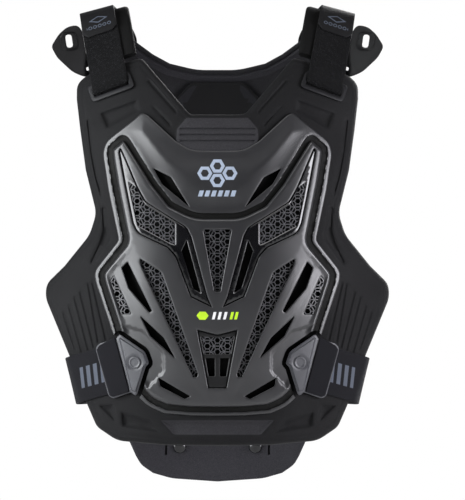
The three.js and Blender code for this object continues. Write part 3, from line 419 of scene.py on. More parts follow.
# The height of a plain weave, with its ribs counted in threads for each metre of the UV map.
def weave(tree, across, along):
    where = tree.nodes.new("ShaderNodeSeparateXYZ")
    tree.links.new(tree.nodes.new("ShaderNodeTexCoord").outputs["UV"], where.inputs[0])
    waves = [maths(tree, "SINE", maths(tree, "MULTIPLY", where.outputs[k], count * 2 * math.pi))
             for k, count in ((0, across), (1, along))]
    return maths(tree, "MULTIPLY", *waves), where


def mixedColour(tree, factor, below, above):
    node = tree.nodes.new("ShaderNodeMix")
    node.data_type = "RGBA"
    tree.links.new(factor, node.inputs["Factor"])
    tree.links.new(below, node.inputs[6])
    node.inputs[7].default_value = (*above, 1)
    return node.outputs[2]


def between(tree, value, low, high):
    above, below = maths(tree, "GREATER_THAN", value, low), maths(tree, "LESS_THAN", value, high)
    return maths(tree, "MULTIPLY", above, below)


# A row of plain bars across a strip: u from low to high, v from start to end, all in metres.
def slantedBars(low, high, start, end, pitch, share, slant):
    def pattern(tree, uv):
        leaning = maths(tree, "ADD", uv.outputs[1], maths(tree, "MULTIPLY", uv.outputs[0], slant))
        turn = maths(tree, "FRACT", maths(tree, "DIVIDE", leaning, pitch))
        bars = maths(tree, "LESS_THAN", turn, share)
        across, along = between(tree, uv.outputs[0], low, high), between(tree, leaning, start, end)
        return maths(tree, "MULTIPLY", bars, maths(tree, "MULTIPLY", across, along))
    return pattern


# A row of small rings by the tip and a plain lozenge above them.
def tabPattern(tree, uv):
    u, v = uv.outputs[0], uv.outputs[1]
    pitch, row = 0.0052, 0.0095
    turn = maths(tree, "SUBTRACT", maths(tree, "FRACT", maths(tree, "DIVIDE", u, pitch)), 0.5)
    across = maths(tree, "MULTIPLY", turn, pitch)
    up = maths(tree, "SUBTRACT", v, row)
    squares = maths(tree, "ADD", maths(tree, "MULTIPLY", across, across), maths(tree, "MULTIPLY", up, up))
    rings = between(tree, maths(tree, "SQRT", squares), 0.0013, 0.0021)
    rings = maths(tree, "MULTIPLY", rings, between(tree, u, 0.0055, 0.0325))
    leaning = maths(tree, "ABSOLUTE", maths(tree, "SUBTRACT", u, 0.019))
    height = maths(tree, "ABSOLUTE", maths(tree, "SUBTRACT", v, 0.0185))
    size = maths(tree, "ADD", leaning, maths(tree, "MULTIPLY", height, 2.2))
    return maths(tree, "ADD", rings, between(tree, size, 0.0075, 0.0105))


def webbingMaterial(name, dark, light, across, along, roughness=0.85, strength=0.5, specks=None, pattern=None,
                    printColour=None):
    sockets = {"Sheen Weight": 0.03, "Specular IOR Level": 0.15}
    material, tree, bsdf = shader(name, light, roughness, **sockets)
    height, uv = weave(tree, across, along)
    mixed = maths(tree, "MULTIPLY_ADD", height, 0.25)
    mixed.node.inputs[2].default_value = 0.5
    colour = ramp(tree, mixed, [(0.25, dark), (0.75, light)])
    if specks:
        colour = mixedColour(tree, ramp(tree, noise(tree, 1300, 1), [(0.6, 0), (0.7, 1)]), colour, specks)
    if pattern:
        colour = mixedColour(tree, pattern(tree, uv), colour, printColour)
    tree.links.new(colour, bsdf.inputs["Base Color"])
    fuzz = bump(tree, bsdf, noise(tree, 3000, 3), 0.2, 0.0002)
    bump(tree, bsdf, height, strength, 0.00025, fuzz)
    return material


foam = foamMaterial("mouldedFoam", (0.0045, 0.0045, 0.005), (0.0112, 0.011, 0.012))
backFoam = foamMaterial("backFoam", (0.008, 0.0078, 0.009), (0.019, 0.0185, 0.021))
padFoam = foamMaterial("shoulderFoam", (0.0008, 0.0008, 0.0008), (0.0022, 0.0022, 0.0023), 0.01)
# Near-black foam: painted shade for the shadow under the chest shell.
paintedShadeFoam = foamMaterial("paintedShellShadow", (0.001, 0.001, 0.001), (0.002, 0.002, 0.002), 0.0)
shellPlastic = plasticMaterial("smokeShell", (0.022, 0.022, 0.0238), 0.36, 0.02, 1200, 0.35, 0.02, 0.28)
channelPlastic = plasticMaterial("channelBlack", (0.002, 0.002, 0.0016), 0.7, 0.08, specular=0.2)
gridPlastic = plasticMaterial("ventGrid", (0.085, 0.085, 0.092), 0.35, 0.03)
insertPlastic = plasticMaterial("ventInsertGloss", (0.003, 0.003, 0.004), 0.2, 0.02, 900, 0.4)
blackPlastic = plasticMaterial("satinBlack", (0.004, 0.004, 0.0045), 0.45, 0.1, 1500, specular=0.35)
framePlastic = plasticMaterial("slotFrame", (0.008, 0.008, 0.0095), 0.5, 0.1, 1500, specular=0.25)
bucklePlastic = plasticMaterial("buckleGrey", (0.055, 0.056, 0.064), 0.36, 0.06, 1800)
snapPlastic = plasticMaterial("snapBlack", (0.008, 0.008, 0.009), 0.09, 0.01)
sideWebbing = webbingMaterial("elasticWebbing", (0.006, 0.006, 0.008), (0.012, 0.012, 0.0145), 900, 700,
                              pattern=slantedBars(0.014, 0.036, 0.036, 0.071, 0.0095, 0.55, 0.22),
                              printColour=(0.1, 0.112, 0.14))
loopWebbing = webbingMaterial("elasticFold", (0.005, 0.005, 0.007), (0.010, 0.010, 0.0125), 900, 700)
# Lighter foam: a painted highlight on the raised roll inside the back pad's neck edge.
rollHighlightFoam = foamMaterial("rollHighlightFoam", (0.014, 0.0135, 0.016), (0.034, 0.033, 0.038))
panelFoam = foamMaterial("panelFoam", (0.018, 0.0175, 0.0195), (0.042, 0.041, 0.046))
tailFoam = foamMaterial("tailFoam", (0.018, 0.0175, 0.0205), (0.044, 0.043, 0.05))
tapeFabric = webbingMaterial("liningTape", (0.006, 0.006, 0.007), (0.015, 0.015, 0.018), 900, 900)
loopFabric = webbingMaterial("loopFabric", (0.001, 0.001, 0.0012), (0.0035, 0.0035, 0.004), 500, 500,
                             0.95, 0.9, (0.03, 0.03, 0.033))
labelFabric = webbingMaterial("labelPatch", (0.005, 0.005, 0.0056), (0.008, 0.008, 0.009), 1500, 1500,
                              0.6, 0.15, pattern=tabPattern, printColour=(0.085, 0.1, 0.13))
liningFabric = webbingMaterial("meshLining", (0.003, 0.003, 0.003), (0.009, 0.009, 0.0098), 600, 600,
                               0.9, 0.6)
greyPrint = plasticMaterial("greyBluePrint", (0.34, 0.4, 0.5), 0.5, 0.02)
limePrint = plasticMaterial("limePrint", (0.5, 0.78, 0.02), 0.45, 0.02)
whitePrint = plasticMaterial("whitePrint", (0.8, 0.8, 0.8), 0.45, 0.02)
print("materials made")

# Corner tables

padOutline = [
    (0, 14.9), (15.8, 14.9, 4), (44, 0.2, 5), (75.1, 4.4, 10), (81.6, 7, 8), (81.6, 10.9),
    (79.5, 18.8), (76.3, 29.1), (70.1, 40.2, 8), (74, 45.8, 8), (88.6, 53.8), (99.2, 58.4, 7),
    (99.8, 62, 7), (85.1, 77.7), (75.1, 89.8), (69.8, 95.2, 5), (58.1, 98.7, 8), (31.1, 99.8), (0, 100),
]
padGrooves = {
    "side": [
        (76.3, 16), (73.4, 16), (71.9, 24), (69.3, 29.6),
        (66.6, 34.8), (67.5, 36.6), (71.3, 31.2), (74.2, 24.5),
    ],
    "waist": [
        (67.5, 38.6), (64.6, 38.4), (62.8, 43), (61.3, 46.9),
        (72.8, 53.6), (74, 52.8), (68.7, 47.9), (66.6, 44.6),
    ],
    "shoulder": [(68.1, 14.4), (46.1, 10.9), (44.9, 14), (64, 18.6)],
    "neck": [(41.7, 6.2), (38.7, 5.7), (22.3, 14), (24.1, 15)],
    "collar": [(38.2, 12.9), (36.2, 12.7), (26.1, 17.4), (27.2, 18.4)],
    "hip": [(69.3, 89.6), (59.9, 89.3), (58.7, 94.2)],
    "hem": [(55.8, 91.1), (39, 93.4), (31.7, 96.8), (55.2, 95.2)],
}
padHemPanel = [(0, 93.4), (32.9, 93.4), (25.2, 97.1), (0, 97.1)]
collarLines = {"first": 18.6, "pitch": 1.55, "count": 3, "half": 41, "width": 2.8}
collarPanel = [(0, 15.4), (18.2, 15.4), (24, 18.4), (25, 23), (22, 27.5), (0, 27.5)]
fluteLines = [
    ((89.2, 65.6), (82.2, 75.4)), ((85.7, 64.2), (78.3, 76)), ((82.4, 62), (74.5, 75.4)),
    ((79.2, 60.7), (71.3, 74.6)), ((74.5, 58.4), (68.8, 73.2)), ((72, 58.2), (64.3, 72.6)),
]
shellOutline = [
    (0, 12.5), (21.6, 12.3, 8), (34.1, 9.2), (56.5, 0.8), (61.5, -0.2, 4), (68.1, 2.2), (90.6, 9.3, 7),
    (93.5, 13.1, 6), (88.9, 25.4), (80.2, 42, 4), (100.1, 52.1, 7), (99.7, 55.1, 5), (84.7, 73.2),
    (65.6, 93.1), (56.5, 96.7, 10), (43.2, 99), (21.6, 99.7), (0, 99.8),
]
channelOutline = [
    (0, 33), (18.3, 33, 10), (36.6, 29.3), (49.8, 22.6), (72.3, 7.9, 5), (77.7, 6.9, 4), (90.1, 11.2, 6),
    (89.7, 14.5, 6), (85.6, 24.4), (76.6, 42.2, 5), (97, 52.3, 6), (96.4, 55.4, 5), (81.4, 73.9),
    (62.7, 92.4), (54.8, 95.7, 10), (41.5, 98), (21.6, 98.7), (0, 98.8),
]
sideVent = [
    (78.9, 11.3, 2), (73.9, 15.8), (64.8, 24.4), (58.2, 29.2, 3), (38.2, 34.3), (24.9, 37.6, 4), (21.2, 40.6),
    (7.9, 60.7), (4.2, 64.2), (22, 60.7), (34.5, 47.2, 3), (40.7, 44.5), (65.2, 39.7, 5), (69, 36.3),
    (75.6, 23), (80.2, 12.8),
]
sideVentMesh = [
    (72.3, 22.7), (66.5, 24.4), (58.6, 30.3), (34.1, 36.4),
    (34.1, 43.5), (38.2, 43), (64.5, 37.2), (69.6, 28.3),
]
sideVentSlot = [(24.9, 41.9), (29.1, 45.5), (19.5, 57.9), (13.3, 59.4)]
centreVent = [(0, 38.4), (11.6, 38.4, 2), (2.5, 59, 1.5), (0, 59)]
longVent = [
    (62.7, 48.1), (45.7, 52.4, 2), (42.4, 56.1), (15.8, 86.1),
    (16.6, 87.1), (19.9, 87.1), (62.3, 50.1),
]
smallVent = [(84.3, 53.6), (87.2, 55.4), (78.6, 66.3), (70.2, 66.3)]
lowerVent = [(0, 73.1), (16.6, 71.4), (7.5, 90.8), (0, 90.8)]
lowerVentMesh = [(0, 74.1), (13.7, 73.6), (10.8, 79.5), (0, 79.5)]
lowerVentSlot = [(2.1, 80.8), (9.6, 80.8), (7.1, 86.8), (2.1, 86.8)]
shellSlots = {
    "flank": [(73.1, 49.1), (77.7, 51), (71.9, 57.9), (55.2, 65.8), (53.2, 65.3)],
    "lower": [(62.3, 67.1), (54.4, 73.6), (34.5, 80.8), (43.6, 74.1)],
    "hem": [(47.8, 87.3), (46.5, 90.1), (26.6, 94.3), (22, 93.4)],
}
chestSlot = [(51.9, 18.3), (44.9, 23.5), (22.8, 31), (37.8, 21.2)]
bucklePocket = [(84.7, 69), (60.4, 71.9), (44, 78.9, 3), (43.4, 85.4, 3), (63.1, 93.4), (90, 93.4), (100, 69)]
shellRidge = [(67.1, 45.2), (59.2, 49.5), (45.3, 63), (31, 77), (20, 87)]
buckleSpot = (67.4, 82.3)
buckleSize = (58, 70)
buckleOutline = [
    (28.6, 44.4, 3), (-19.7, 16.9, 3), (-27.2, -1.6, 2), (-20.7, -6.4), (-5.2, -48.1), (-1.4, -51.3, 2),
    (6.6, -45.9), (39.1, -55.4, 2), (48.3, -52.4, 3), (73.3, 22, 4), (66.9, 28.7, 2), (33.8, 37.4),
]
buckleOpening = [(35.3, 32.6), (64.8, 24.7), (43.1, -50), (10.3, -41.4)]
bucklePlate = [(30, 40.5), (-17.3, 14.5), (-24, -1.8), (-17.6, -6), (-2.4, -46.4), (6.9, -42.6)]
backOutline = [
    (0, 9.8), (16.4, 9.8, 10), (37.6, 8.4), (50.9, 6.4), (64.2, 3.7), (70.5, 1.6, 3), (97, 4.6, 6), (99, 10),
    (97, 18), (90, 28), (86.9, 41), (90.8, 56), (92.3, 69), (86.1, 82), (71, 90.2), (64.4, 94.3),
    (60.3, 96.3, 5), (50.9, 98.1), (36, 99.3, 6), (0, 100),
]
liningOutline = [
    (0, 12.5), (20.3, 12.5, 3), (32.9, 16), (50, 27), (58, 41),
    (62, 60), (58, 76), (44, 84, 12), (0, 84),
]
backShellOutline = [
    (0, 4), (34, 4, 8), (66, 0, 6), (97, 6, 10), (100, 15, 8), (88, 34), (80, 52), (84, 68), (88, 77, 12),
    (66, 91), (54, 99, 10), (0, 100),
]
wingOutline = [
    (59.8, 47.2, 3), (78.7, 55.2, 4), (81.2, 10.4, 3), (84.2, 0, 4), (90.3, 3.2, 5), (95.3, 16, 4),
    (100, 37.6, 4), (96.4, 56.8, 4), (87.5, 80.8, 4), (81.4, 88.8, 6), (75.3, 91.2), (59.3, 100, 3),
]
wingStrapSlot = [(72.6, 67.2), (79.2, 73.6), (78.7, 79.2), (72, 72.8)]

# Heights above the inner face of the pads
level = {
    "pad": 10, "shellSeat": 10.5, "rim": 13.5, "channel": 12, "body": 17.5, "vent": 14.5, "insert": 16.5,
    "webbing": 10.6, "buckle": 13.6, "buckleFrame": 16.1, "bucklePlate": 18.1,
    "slotFrame": 13.5, "strap": 14.1,
}
# Front and rear: a slot's place across and in height, and the height at which the webbing leaves the pad.
straps = {
    "width": 38, "widthInSlot": 37.4, "lean": 0.19, "thickness": 2, "gap": 0.6, "tilt": 20,
    "slotOpening": 9.5, "slotPlay": 0.8, "bar": 4.8, "sag": 6.4, "tail": 19,
    "front": (115.5, -76, -60), "rear": (106, -92, -34), "apex": (130, -6, 4),
    "apexTilt": 15, "apexReach": 30, "frontRise": 26, "rearRise": 18, "padInner": 34, "padRearInner": 12,
    "padOuter": 14, "padThickness": 8,
}


def slantedBox(centre, width, height, side, slope, radius=0):
    angle = math.radians(slope)
    half, rise = width / 2, height / 2
    return [(side * (centre[0] + a * math.cos(angle) + u * math.sin(angle)),
             centre[1] - a * math.sin(angle) + u * math.cos(angle), radius)
            for a, u in ((-half, -rise), (half, -rise), (half, rise), (-half, rise))]


def slotRing(spot, side, grow, step=2.5):
    width = straps["width"] + 2 * straps["slotPlay"] + 2 * grow
    opening = straps["slotOpening"] + 2 * grow
    return rounded(slantedBox(spot, width, opening, side, straps["tilt"], max(grow, 1)), step)


# Chest pad

padLook = {
    "spacing": 3.0, "edge": 6.5, "edgeRise": 6, "underEdge": 3.5, "underRise": 2, "grooveDepth": 3.6,
    "grooveSlope": 4.2, "ribSlope": 1.7, "ribShare": 0.6, "fluteDepth": 1.6, "fluteWidth": 5,
    "shellHollow": 5, "panelRise": 2.2, "panelSlope": 4,
    "seam": 6.5, "seamDepth": 0.7, "seamWidth": 1.3,
}
shellRing = rounded(mirrored(shellOutline, shellSize), 1.2)
padRing = rounded(mirrored(padOutline, padSize), 3)


def lineDistance(points, a, b):
    a, b = np.array(a, float), np.array(b, float)
    d = b - a
    t = np.clip(((points - a) @ d) / (d @ d), 0, 1)
    return np.hypot(*(points - a - t[:, None] * d).T)


def chestPad():
    look = padLook
    grooves = [rounded(mirrored(padHemPanel, padSize), 2.5, 2)]
    for i in range(collarLines["count"]):
        z = padSize[2] - (collarLines["first"] + i * collarLines["pitch"]) * padSize[1] / 100
        half, low, high = collarLines["half"], z - collarLines["width"] / 2, z + collarLines["width"] / 2
        grooves.append(rounded([(-half, low, 1), (half, low, 1), (half, high, 1), (-half, high, 1)], 2.5))
    for side in sides.values():
        grooves += [rounded(placed(table, padSize, side), 2.5, 2) for table in padGrooves.values()]
    flutes = [placed(line, padSize, side) for line in fluteLines for side in sides.values()]
    panel = rounded(mirrored(collarPanel, padSize), 2.5, 2)
    holes = [slotRing(straps["front"][:2], side, 0.4) for side in sides.values()]
    lines = [inset(padRing, d) for d in (1, 2.2, 4, 6.5)]
    lines += [inset(padRing, look["seam"] + step) for step in (-look["seamWidth"], look["seamWidth"])]
    for groove in grooves:
        lines += [groove, inset(groove, 0.9), inset(groove, 2)]
    for a, b in flutes:
        for share in (-0.5, -0.25, 0, 0.25, 0.5):
            start, end = [np.add(p, (share * look["fluteWidth"], 0)) for p in (a, b)]
            lines.append(spaced(np.array([start, end, end + (0.05, 0)]), 3))
    lines += [panel, inset(panel, 1.5), inset(panel, look["panelSlope"])]
    layout = layOut(padRing, holes, lines, look["spacing"])
    xz = layout[0]
    edge = signedDistance(xz, padRing)
    top = level["pad"] - look["edgeRise"] * (1 - roundOver(edge / look["edge"]))
    for groove in grooves:
        narrow = groove.ptp(0).min() < 6
        inside = nearDistance(xz, groove, 6)
        slope = look["ribSlope"] if narrow else look["grooveSlope"]
        depth = look["grooveDepth"] * (look["ribShare"] if narrow else 1)
        top -= depth * smooth((inside + 0.4) / slope)
    for a, b in flutes:
        top -= look["fluteDepth"] * (1 - smooth(lineDistance(xz, a, b) / (look["fluteWidth"] / 2)))
    top += look["panelRise"] * smooth(nearDistance(xz, panel, 6) / look["panelSlope"])
    top -= look["seamDepth"] * (1 - smooth(np.abs(edge - look["seam"]) / look["seamWidth"]))
    underShell = nearDistance(xz, shellRing, 20)
    top -= look["shellHollow"] * smooth((underShell - 6) / 6)
    bottom = look["underRise"] * (1 - roundOver(edge / look["underEdge"]))

    def paint(middle):
        # Painted shade: faces more than 7 mm inside the shell's outline take the near-black foam for the
        # shadow under the shell.
        chosen = (nearDistance(middle, shellRing, 20) > 7).astype(int)
        for ring, margin in ((panel, 1.5), (grooves[0], 0)):
            chosen[(nearDistance(middle, ring, 3) > margin) & (chosen == 0)] = 2
        return chosen

    return plate("chestPad", layout, top, bottom, onChest, foam, paint, [paintedShadeFoam, panelFoam], 60)


finished(chestPad(), "foam", "chest_pad", fill=0.9)
print("chest pad made")

# Chest shell

shellLook = {
    "spacing": 2.6, "wall": 2.5, "rimRound": 1.2, "channelWidth": 6, "channelSlope": 0.9, "bodyRound": 3.2,
    "lip": 0.9, "lipRound": 1.4, "crown": 1.6, "crownWidth": 45, "plateCrown": 3.2, "plateWidth": 26,
    "pocketDepth": 1.3, "pocketSlope": 0.5, "ridgeFall": 0.07, "buckleRoom": 4.5, "ridgeLimit": 30,
}
channelRing = rounded(mirrored(channelOutline, shellSize), 1.2)
bodyRing = spaced(inset(channelRing, shellLook["channelWidth"]), 1.2)
bothSides = [1, -1]


def ventRings(step=1.8):
    rings = [rounded(mirrored(table, shellSize), step, 0.8) for table in (centreVent, lowerVent)]
    for side in bothSides:
        for table in (sideVent, longVent, smallVent, chestSlot, *shellSlots.values()):
            rings.append(rounded(placed(table, shellSize, side), step, 0.8))
    return rings


def onBuckle(table, side):
    x, z = placed([buckleSpot], shellSize)[0]
    width, height = buckleSize
    return [(side * (x + out * width / 100), z + up * height / 100, *rest) for out, up, *rest in table]


# Distance to an open line that runs down, above zero on its side of greater x.
def polylineSide(points, line):
    best = np.full(len(points), 1e9)
    signed = np.zeros(len(points))
    for a, b in zip(line[:-1], line[1:]):
        gap = lineDistance(points, a, b)
        way = np.array(b) - np.array(a)
        turn = way[0] * (points[:, 1] - a[1]) - way[1] * (points[:, 0] - a[0])
        closer = gap < best - 1e-6
        best = np.minimum(best, gap)
        signed = np.where(closer, np.sign(turn) * gap, signed)
    return signed


# The height of the shell's outer face at any point in the front view.
def shellHeights(xz, vents=None):
    look = shellLook
    edge = signedDistance(xz, shellRing)
    channel = signedDistance(xz, channelRing)
    body = signedDistance(xz, bodyRing)
    height = level["rim"] + look["plateCrown"] * smooth((np.minimum(edge, -channel) - 4) / look["plateWidth"])
    height -= look["rimRound"] * (1 - roundOver(edge / look["rimRound"]))
    height -= 0.5 * (1 - roundOver(np.clip(-channel, 0, None) / 0.8)) * (channel < 0)
    inChannel = smooth(channel / look["channelSlope"])
    height = height * (1 - inChannel) + level["channel"] * inChannel
    height += (level["body"] - level["channel"]) * roundOver(body / look["bodyRound"]) * (body > 0)
    height += look["crown"] * smooth((body - 3) / look["crownWidth"])
    onBody = smooth((body - 1) / 5)
    for side in bothSides:
        ridge = [p[:2] for p in placed(shellRidge, shellSize, side)]
        outer = polylineSide(xz, ridge) * side
        fall = look["ridgeFall"] * np.clip(outer, 0, look["ridgeLimit"])
        fall *= smooth((ridge[0][1] + 20 - xz[:, 1]) / 25) * smooth((xz[:, 1] - ridge[-1][1] + 24) / 30)
        height -= fall * onBody * (side * xz[:, 0] > 0)
        pocket = nearDistance(xz, rounded(placed(bucklePocket, shellSize, side), 3), 8)
        height -= look["pocketDepth"] * smooth(pocket / look["pocketSlope"]) * onBody
    for ring in vents or ():
        gap = -nearDistance(xz, ring, 3)
        height -= look["lip"] * (1 - roundOver(gap / look["lipRound"]))
    return height


def circleRing(centre, radius, count=24):
    angles = np.arange(count) * 2 * math.pi / count
    return np.column_stack([centre[0] + radius * np.cos(angles), centre[1] + radius * np.sin(angles)])


# A plain slanted bar, from its lower left corner.
def bar(left, low, width, height, slant=0.0):
    right, high = left + width, low + height
    corners = [(left, low), (right, low), (right + slant, high), (left + slant, high)]
    return spaced(np.array(corners, float), 2)


def hexagon(centre, size, stretch=1.0):
    angles = np.arange(6) * math.pi / 3
    corners = [(centre[0] + stretch * size * math.cos(a), centre[1] + size * math.sin(a)) for a in angles]
    return spaced(np.array(corners), 2)


markLook = {
    "group": ((-13.5, -170), (13.5, -170), (0, -162.2), (0, -177.8)), "outer": 8.2, "inner": 4.4,
    "row": (-21, -195, 7), "rowBar": (4.6, 6.4, 2), "low": -327.5, "lowBar": (3, 8, 2),
}


# Plain marks on the shell: hexagons that show it in their middle, and bars.
def shellMarks():
    look = markLook
    left, low, pitch = look["row"]
    greyBlue = [hexagon(centre, look["outer"]) for centre in look["group"]]
    greyBlue += [bar(left + pitch * i, low, *look["rowBar"]) for i in range(6)]
    lime = [hexagon((-16, -323.5), 5, 1.3)] + [bar(x, look["low"], *look["lowBar"]) for x in (13, 18)]
    white = [bar(x, look["low"], *look["lowBar"]) for x in (-6, 0, 6)]
    bare = [hexagon(centre, look["inner"]) for centre in look["group"]]
    return {2: greyBlue, 3: lime, 4: white}, bare


def chestShell():
    look = shellLook
    vents = ventRings()
    marks, bare = shellMarks()
    bites = [rounded(onBuckle(buckleOutline, side), 1.8) for side in bothSides]
    bites = [spaced(inset(ring, -look["buckleRoom"]), 1.8) for ring in bites]
    lines = roundingRings(shellRing, look["rimRound"])
    lines += [channelRing, *[inset(channelRing, d) for d in (-0.25, -0.8, look["channelSlope"])]]
    lines += [bodyRing, *roundingRings(bodyRing, look["bodyRound"])]
    for ring in vents:
        lines += roundingRings(ring, -look["lipRound"])
    for side in bothSides:
        pocket = rounded(placed(bucklePocket, shellSize, side), 2)
        lines += [pocket, inset(pocket, look["pocketSlope"])]
    lines += [ring for rings in marks.values() for ring in rings] + bare
    layout = layOut(shellRing, [*vents, *bites], lines, look["spacing"])
    xz = layout[0]
    top = shellHeights(xz, vents)
    bottom = np.maximum(top - look["wall"], level["shellSeat"])

    def paint(middle):
        channel = signedDistance(middle, channelRing)
        body = signedDistance(middle, bodyRing)
        chosen = ((channel > 0) & (body < 0.25)).astype(int)
        for index, rings in marks.items():
            for ring in rings:
                chosen[nearDistance(middle, ring, 1) > 0] = index
        for ring in bare:
            chosen[nearDistance(middle, ring, 1) > 0] = 0
        return chosen

    return plate("chestShell", layout, top, bottom, onChest, shellPlastic, paint,
                 [channelPlastic, greyPrint, limePrint, whitePrint], 64)


finished(chestShell(), "shell_plastic", "chest_shell")
print("chest shell made")

# Vent grids, laid flat by Geometry Nodes and then bent onto the chest

gridLook = {
    "pitch": 12.5, "bar": 1.0, "ringOuter": 4.1, "ringInner": 3.0, "spoke": 0.85, "thickness": 1.8,
}


# One cell of the grid: half bars round it, a small six-sided ring, and the spokes between.
def cellMesh():
    look = gridLook
    corner = [np.array([math.cos(math.radians(60 * i)), math.sin(math.radians(60 * i))]) for i in range(6)]
    outer = look["pitch"] / 2 / math.cos(math.pi / 6)
    inner = outer - look["bar"] / 2 / math.cos(math.pi / 6)
    ringOuter, ringInner = look["ringOuter"], look["ringInner"]
    flats = []
    for i in range(6):
        a, b = corner[i], corner[(i + 1) % 6]
        flats.append([a * outer, b * outer, b * inner, a * inner])
        flats.append([a * ringOuter, b * ringOuter, b * ringInner, a * ringInner])
        across = np.array([-a[1], a[0]]) * look["spoke"] / 2
        flats.append([a * ringOuter - across, a * inner - across, a * inner + across, a * ringOuter + across])
    points, faces = [], []
    for flat in flats:
        first = len(points)
        crest = look["thickness"]
        middle = np.mean(flat, 0)
        points += [(*p, 0) for p in flat]
        points += [(*p, crest - 0.35) for p in flat]
        points += [(*(p + 0.22 * (middle - p) / max(np.hypot(*(middle - p)), 1e-6)), crest) for p in flat]
        for ring in (0, 4):
            for k in range(4):
                n = (k + 1) % 4
                faces.append((first + ring + k, first + ring + n, first + ring + 4 + n, first + ring + 4 + k))
        faces.append(tuple(first + 8 + k for k in range(4)))
        faces.append(tuple(first + k for k in reversed(range(4))))
    mesh = bpy.data.meshes.new("gridCell")
    mesh.from_pydata(points, [], faces)
    return bpy.data.objects.new("gridCell", mesh)


# Geometry Nodes that put a copy of an object on every point, realized and with a material.
def repeatTree(name, material):
    tree = bpy.data.node_groups.new(name, "GeometryNodeTree")
    for label, kind in (("Geometry", "Geometry"), ("Copied object", "Object"), ("Size", "Float")):
        tree.interface.new_socket(label, in_out="INPUT", socket_type="NodeSocket" + kind)
    tree.interface.new_socket("Geometry", in_out="OUTPUT", socket_type="NodeSocketGeometry")
    make = tree.nodes.new
    start, end = make("NodeGroupInput"), make("NodeGroupOutput")
    info, spread = make("GeometryNodeObjectInfo"), make("GeometryNodeInstanceOnPoints")
    real, paint = make("GeometryNodeRealizeInstances"), make("GeometryNodeSetMaterial")
    turn = make("FunctionNodeAxesToRotation")
    turn.primary_axis, turn.secondary_axis = "Z", "X"
    link = tree.links.new
    for attribute, axis in (("facing", "Primary Axis"), ("heading", "Secondary Axis")):
        node = make("GeometryNodeInputNamedAttribute")
        node.data_type = "FLOAT_VECTOR"
        node.inputs["Name"].default_value = attribute
        link(node.outputs["Attribute"], turn.inputs[axis])
    paint.inputs["Material"].default_value = material
    link(start.outputs["Geometry"], spread.inputs["Points"])
    link(start.outputs["Copied object"], info.inputs["Object"])
    link(info.outputs["Geometry"], spread.inputs["Instance"])
    link(turn.outputs["Rotation"], spread.inputs["Rotation"])
    link(start.outputs["Size"], spread.inputs["Scale"])
    link(spread.outputs["Instances"], real.inputs["Geometry"])
    link(real.outputs["Geometry"], paint.inputs["Geometry"])
    link(paint.outputs["Geometry"], end.inputs["Geometry"])
    return tree


# Bakes copies of an object on spots into one plain mesh, in the spots' own units.
def repeated(name, copied, spots, facing, heading, material, size=1.0):
    mesh = bpy.data.meshes.new(name + "Spots")
    mesh.from_pydata([tuple(p) for p in spots], [], [])
    for attribute, values in (("facing", facing), ("heading", heading)):
        layer = mesh.attributes.new(attribute, "FLOAT_VECTOR", "POINT")
        layer.data.foreach_set("vector", np.asarray(values, np.float32).ravel())
    holder = bpy.data.objects.new(name + "Spots", mesh)
    bpy.context.scene.collection.objects.link(holder)
    bpy.context.scene.collection.objects.link(copied)
    tree = repeatTree(name + "Tree", material)
    modifier = holder.modifiers.new("repeat", "NODES")
    modifier.node_group = tree
    identifiers = {item.name: item.identifier for item in tree.interface.items_tree if item.in_out == "INPUT"}
    modifier[identifiers["Copied object"]] = copied
    modifier[identifiers["Size"]] = size
    bpy.context.view_layer.update()
    evaluated = holder.evaluated_get(bpy.context.evaluated_depsgraph_get())
    baked = bpy.data.meshes.new_from_object(evaluated)
    holder.modifiers.remove(modifier)
    bpy.data.objects.remove(holder)
    bpy.data.objects.remove(copied)
    return baked


# Cell centres whose cells touch an area.
def gridSpots(area, reach):
    pitch = gridLook["pitch"]
    column = pitch * math.cos(math.pi / 6)
    low, high = area.min(0) - pitch, area.max(0) + pitch
    spots = []
    for i in range(int(low[0] / column) - 1, int(high[0] / column) + 2):
        for k in range(int(low[1] / pitch) - 1, int(high[1] / pitch) + 2):
            spots.append((i * column, k * pitch + (0 if i % 2 == 0 else pitch / 2)))
    spots = np.array(spots, float)
    return spots[signedDistance(spots, area) > -reach]


# A vent's grid: the cells over an area, cut off at its edge and bent onto the chest.
def clippedGrid(name, area, face, material):
    spots = gridSpots(area, gridLook["pitch"] / 2)
    flat = np.column_stack([spots, np.zeros(len(spots))])
    up, right = np.tile((0, 0, 1), (len(flat), 1)), np.tile((1, 0, 0), (len(flat), 1))
    mesh = repeated(name, cellMesh(), flat, up, right, material)
    points = np.empty(len(mesh.vertices) * 3, np.float32)
    mesh.vertices.foreach_get("co", points)
    points = points.reshape(-1, 3).astype(float)
    inside = signedDistance(points[:, :2], area)
    kept = inside >= 0
    pulled = np.where(~kept)[0]
    faces = [tuple(p.vertices) for p in mesh.polygons]
    groups = np.arange(len(points)) // 12  # the points of one bar, ring side or spoke
    good = np.bincount(groups, kept.astype(int), minlength=groups.max() + 1) >= 6
    points[pulled, :2] = nearestOnRing(points[pulled, :2], area)
    faces = [f for f in faces if good[groups[f[0]]]]
    used = np.unique(np.concatenate([np.array(f) for f in faces]))
    renumber = np.full(len(points), -1)
    renumber[used] = np.arange(len(used))
    points = points[used]
    faces = [tuple(int(renumber[v]) for v in f) for f in faces]
    placedPoints = onChest(points[:, 0], points[:, 1], face - gridLook["thickness"] + points[:, 2])
    bpy.data.meshes.remove(mesh)
    return meshOf(name, placedPoints, [f[::-1] for f in faces], material, 30)


def nearestOnRing(points, ring):
    a = ring
    d = np.roll(ring, -1, 0) - a
    lengths = np.maximum((d * d).sum(1), 1e-12)
    p = points[:, None]
    t = np.clip(((p - a) * d).sum(2) / lengths, 0, 1)
    foot = a + t[..., None] * d
    best = ((p - foot) ** 2).sum(2).argmin(1)
    return foot[np.arange(len(points)), best]


ventLook = {"spacing": 2.6, "margin": 2.5, "gap": 0.5, "wall": 2.0, "gridDrop": 0.6}


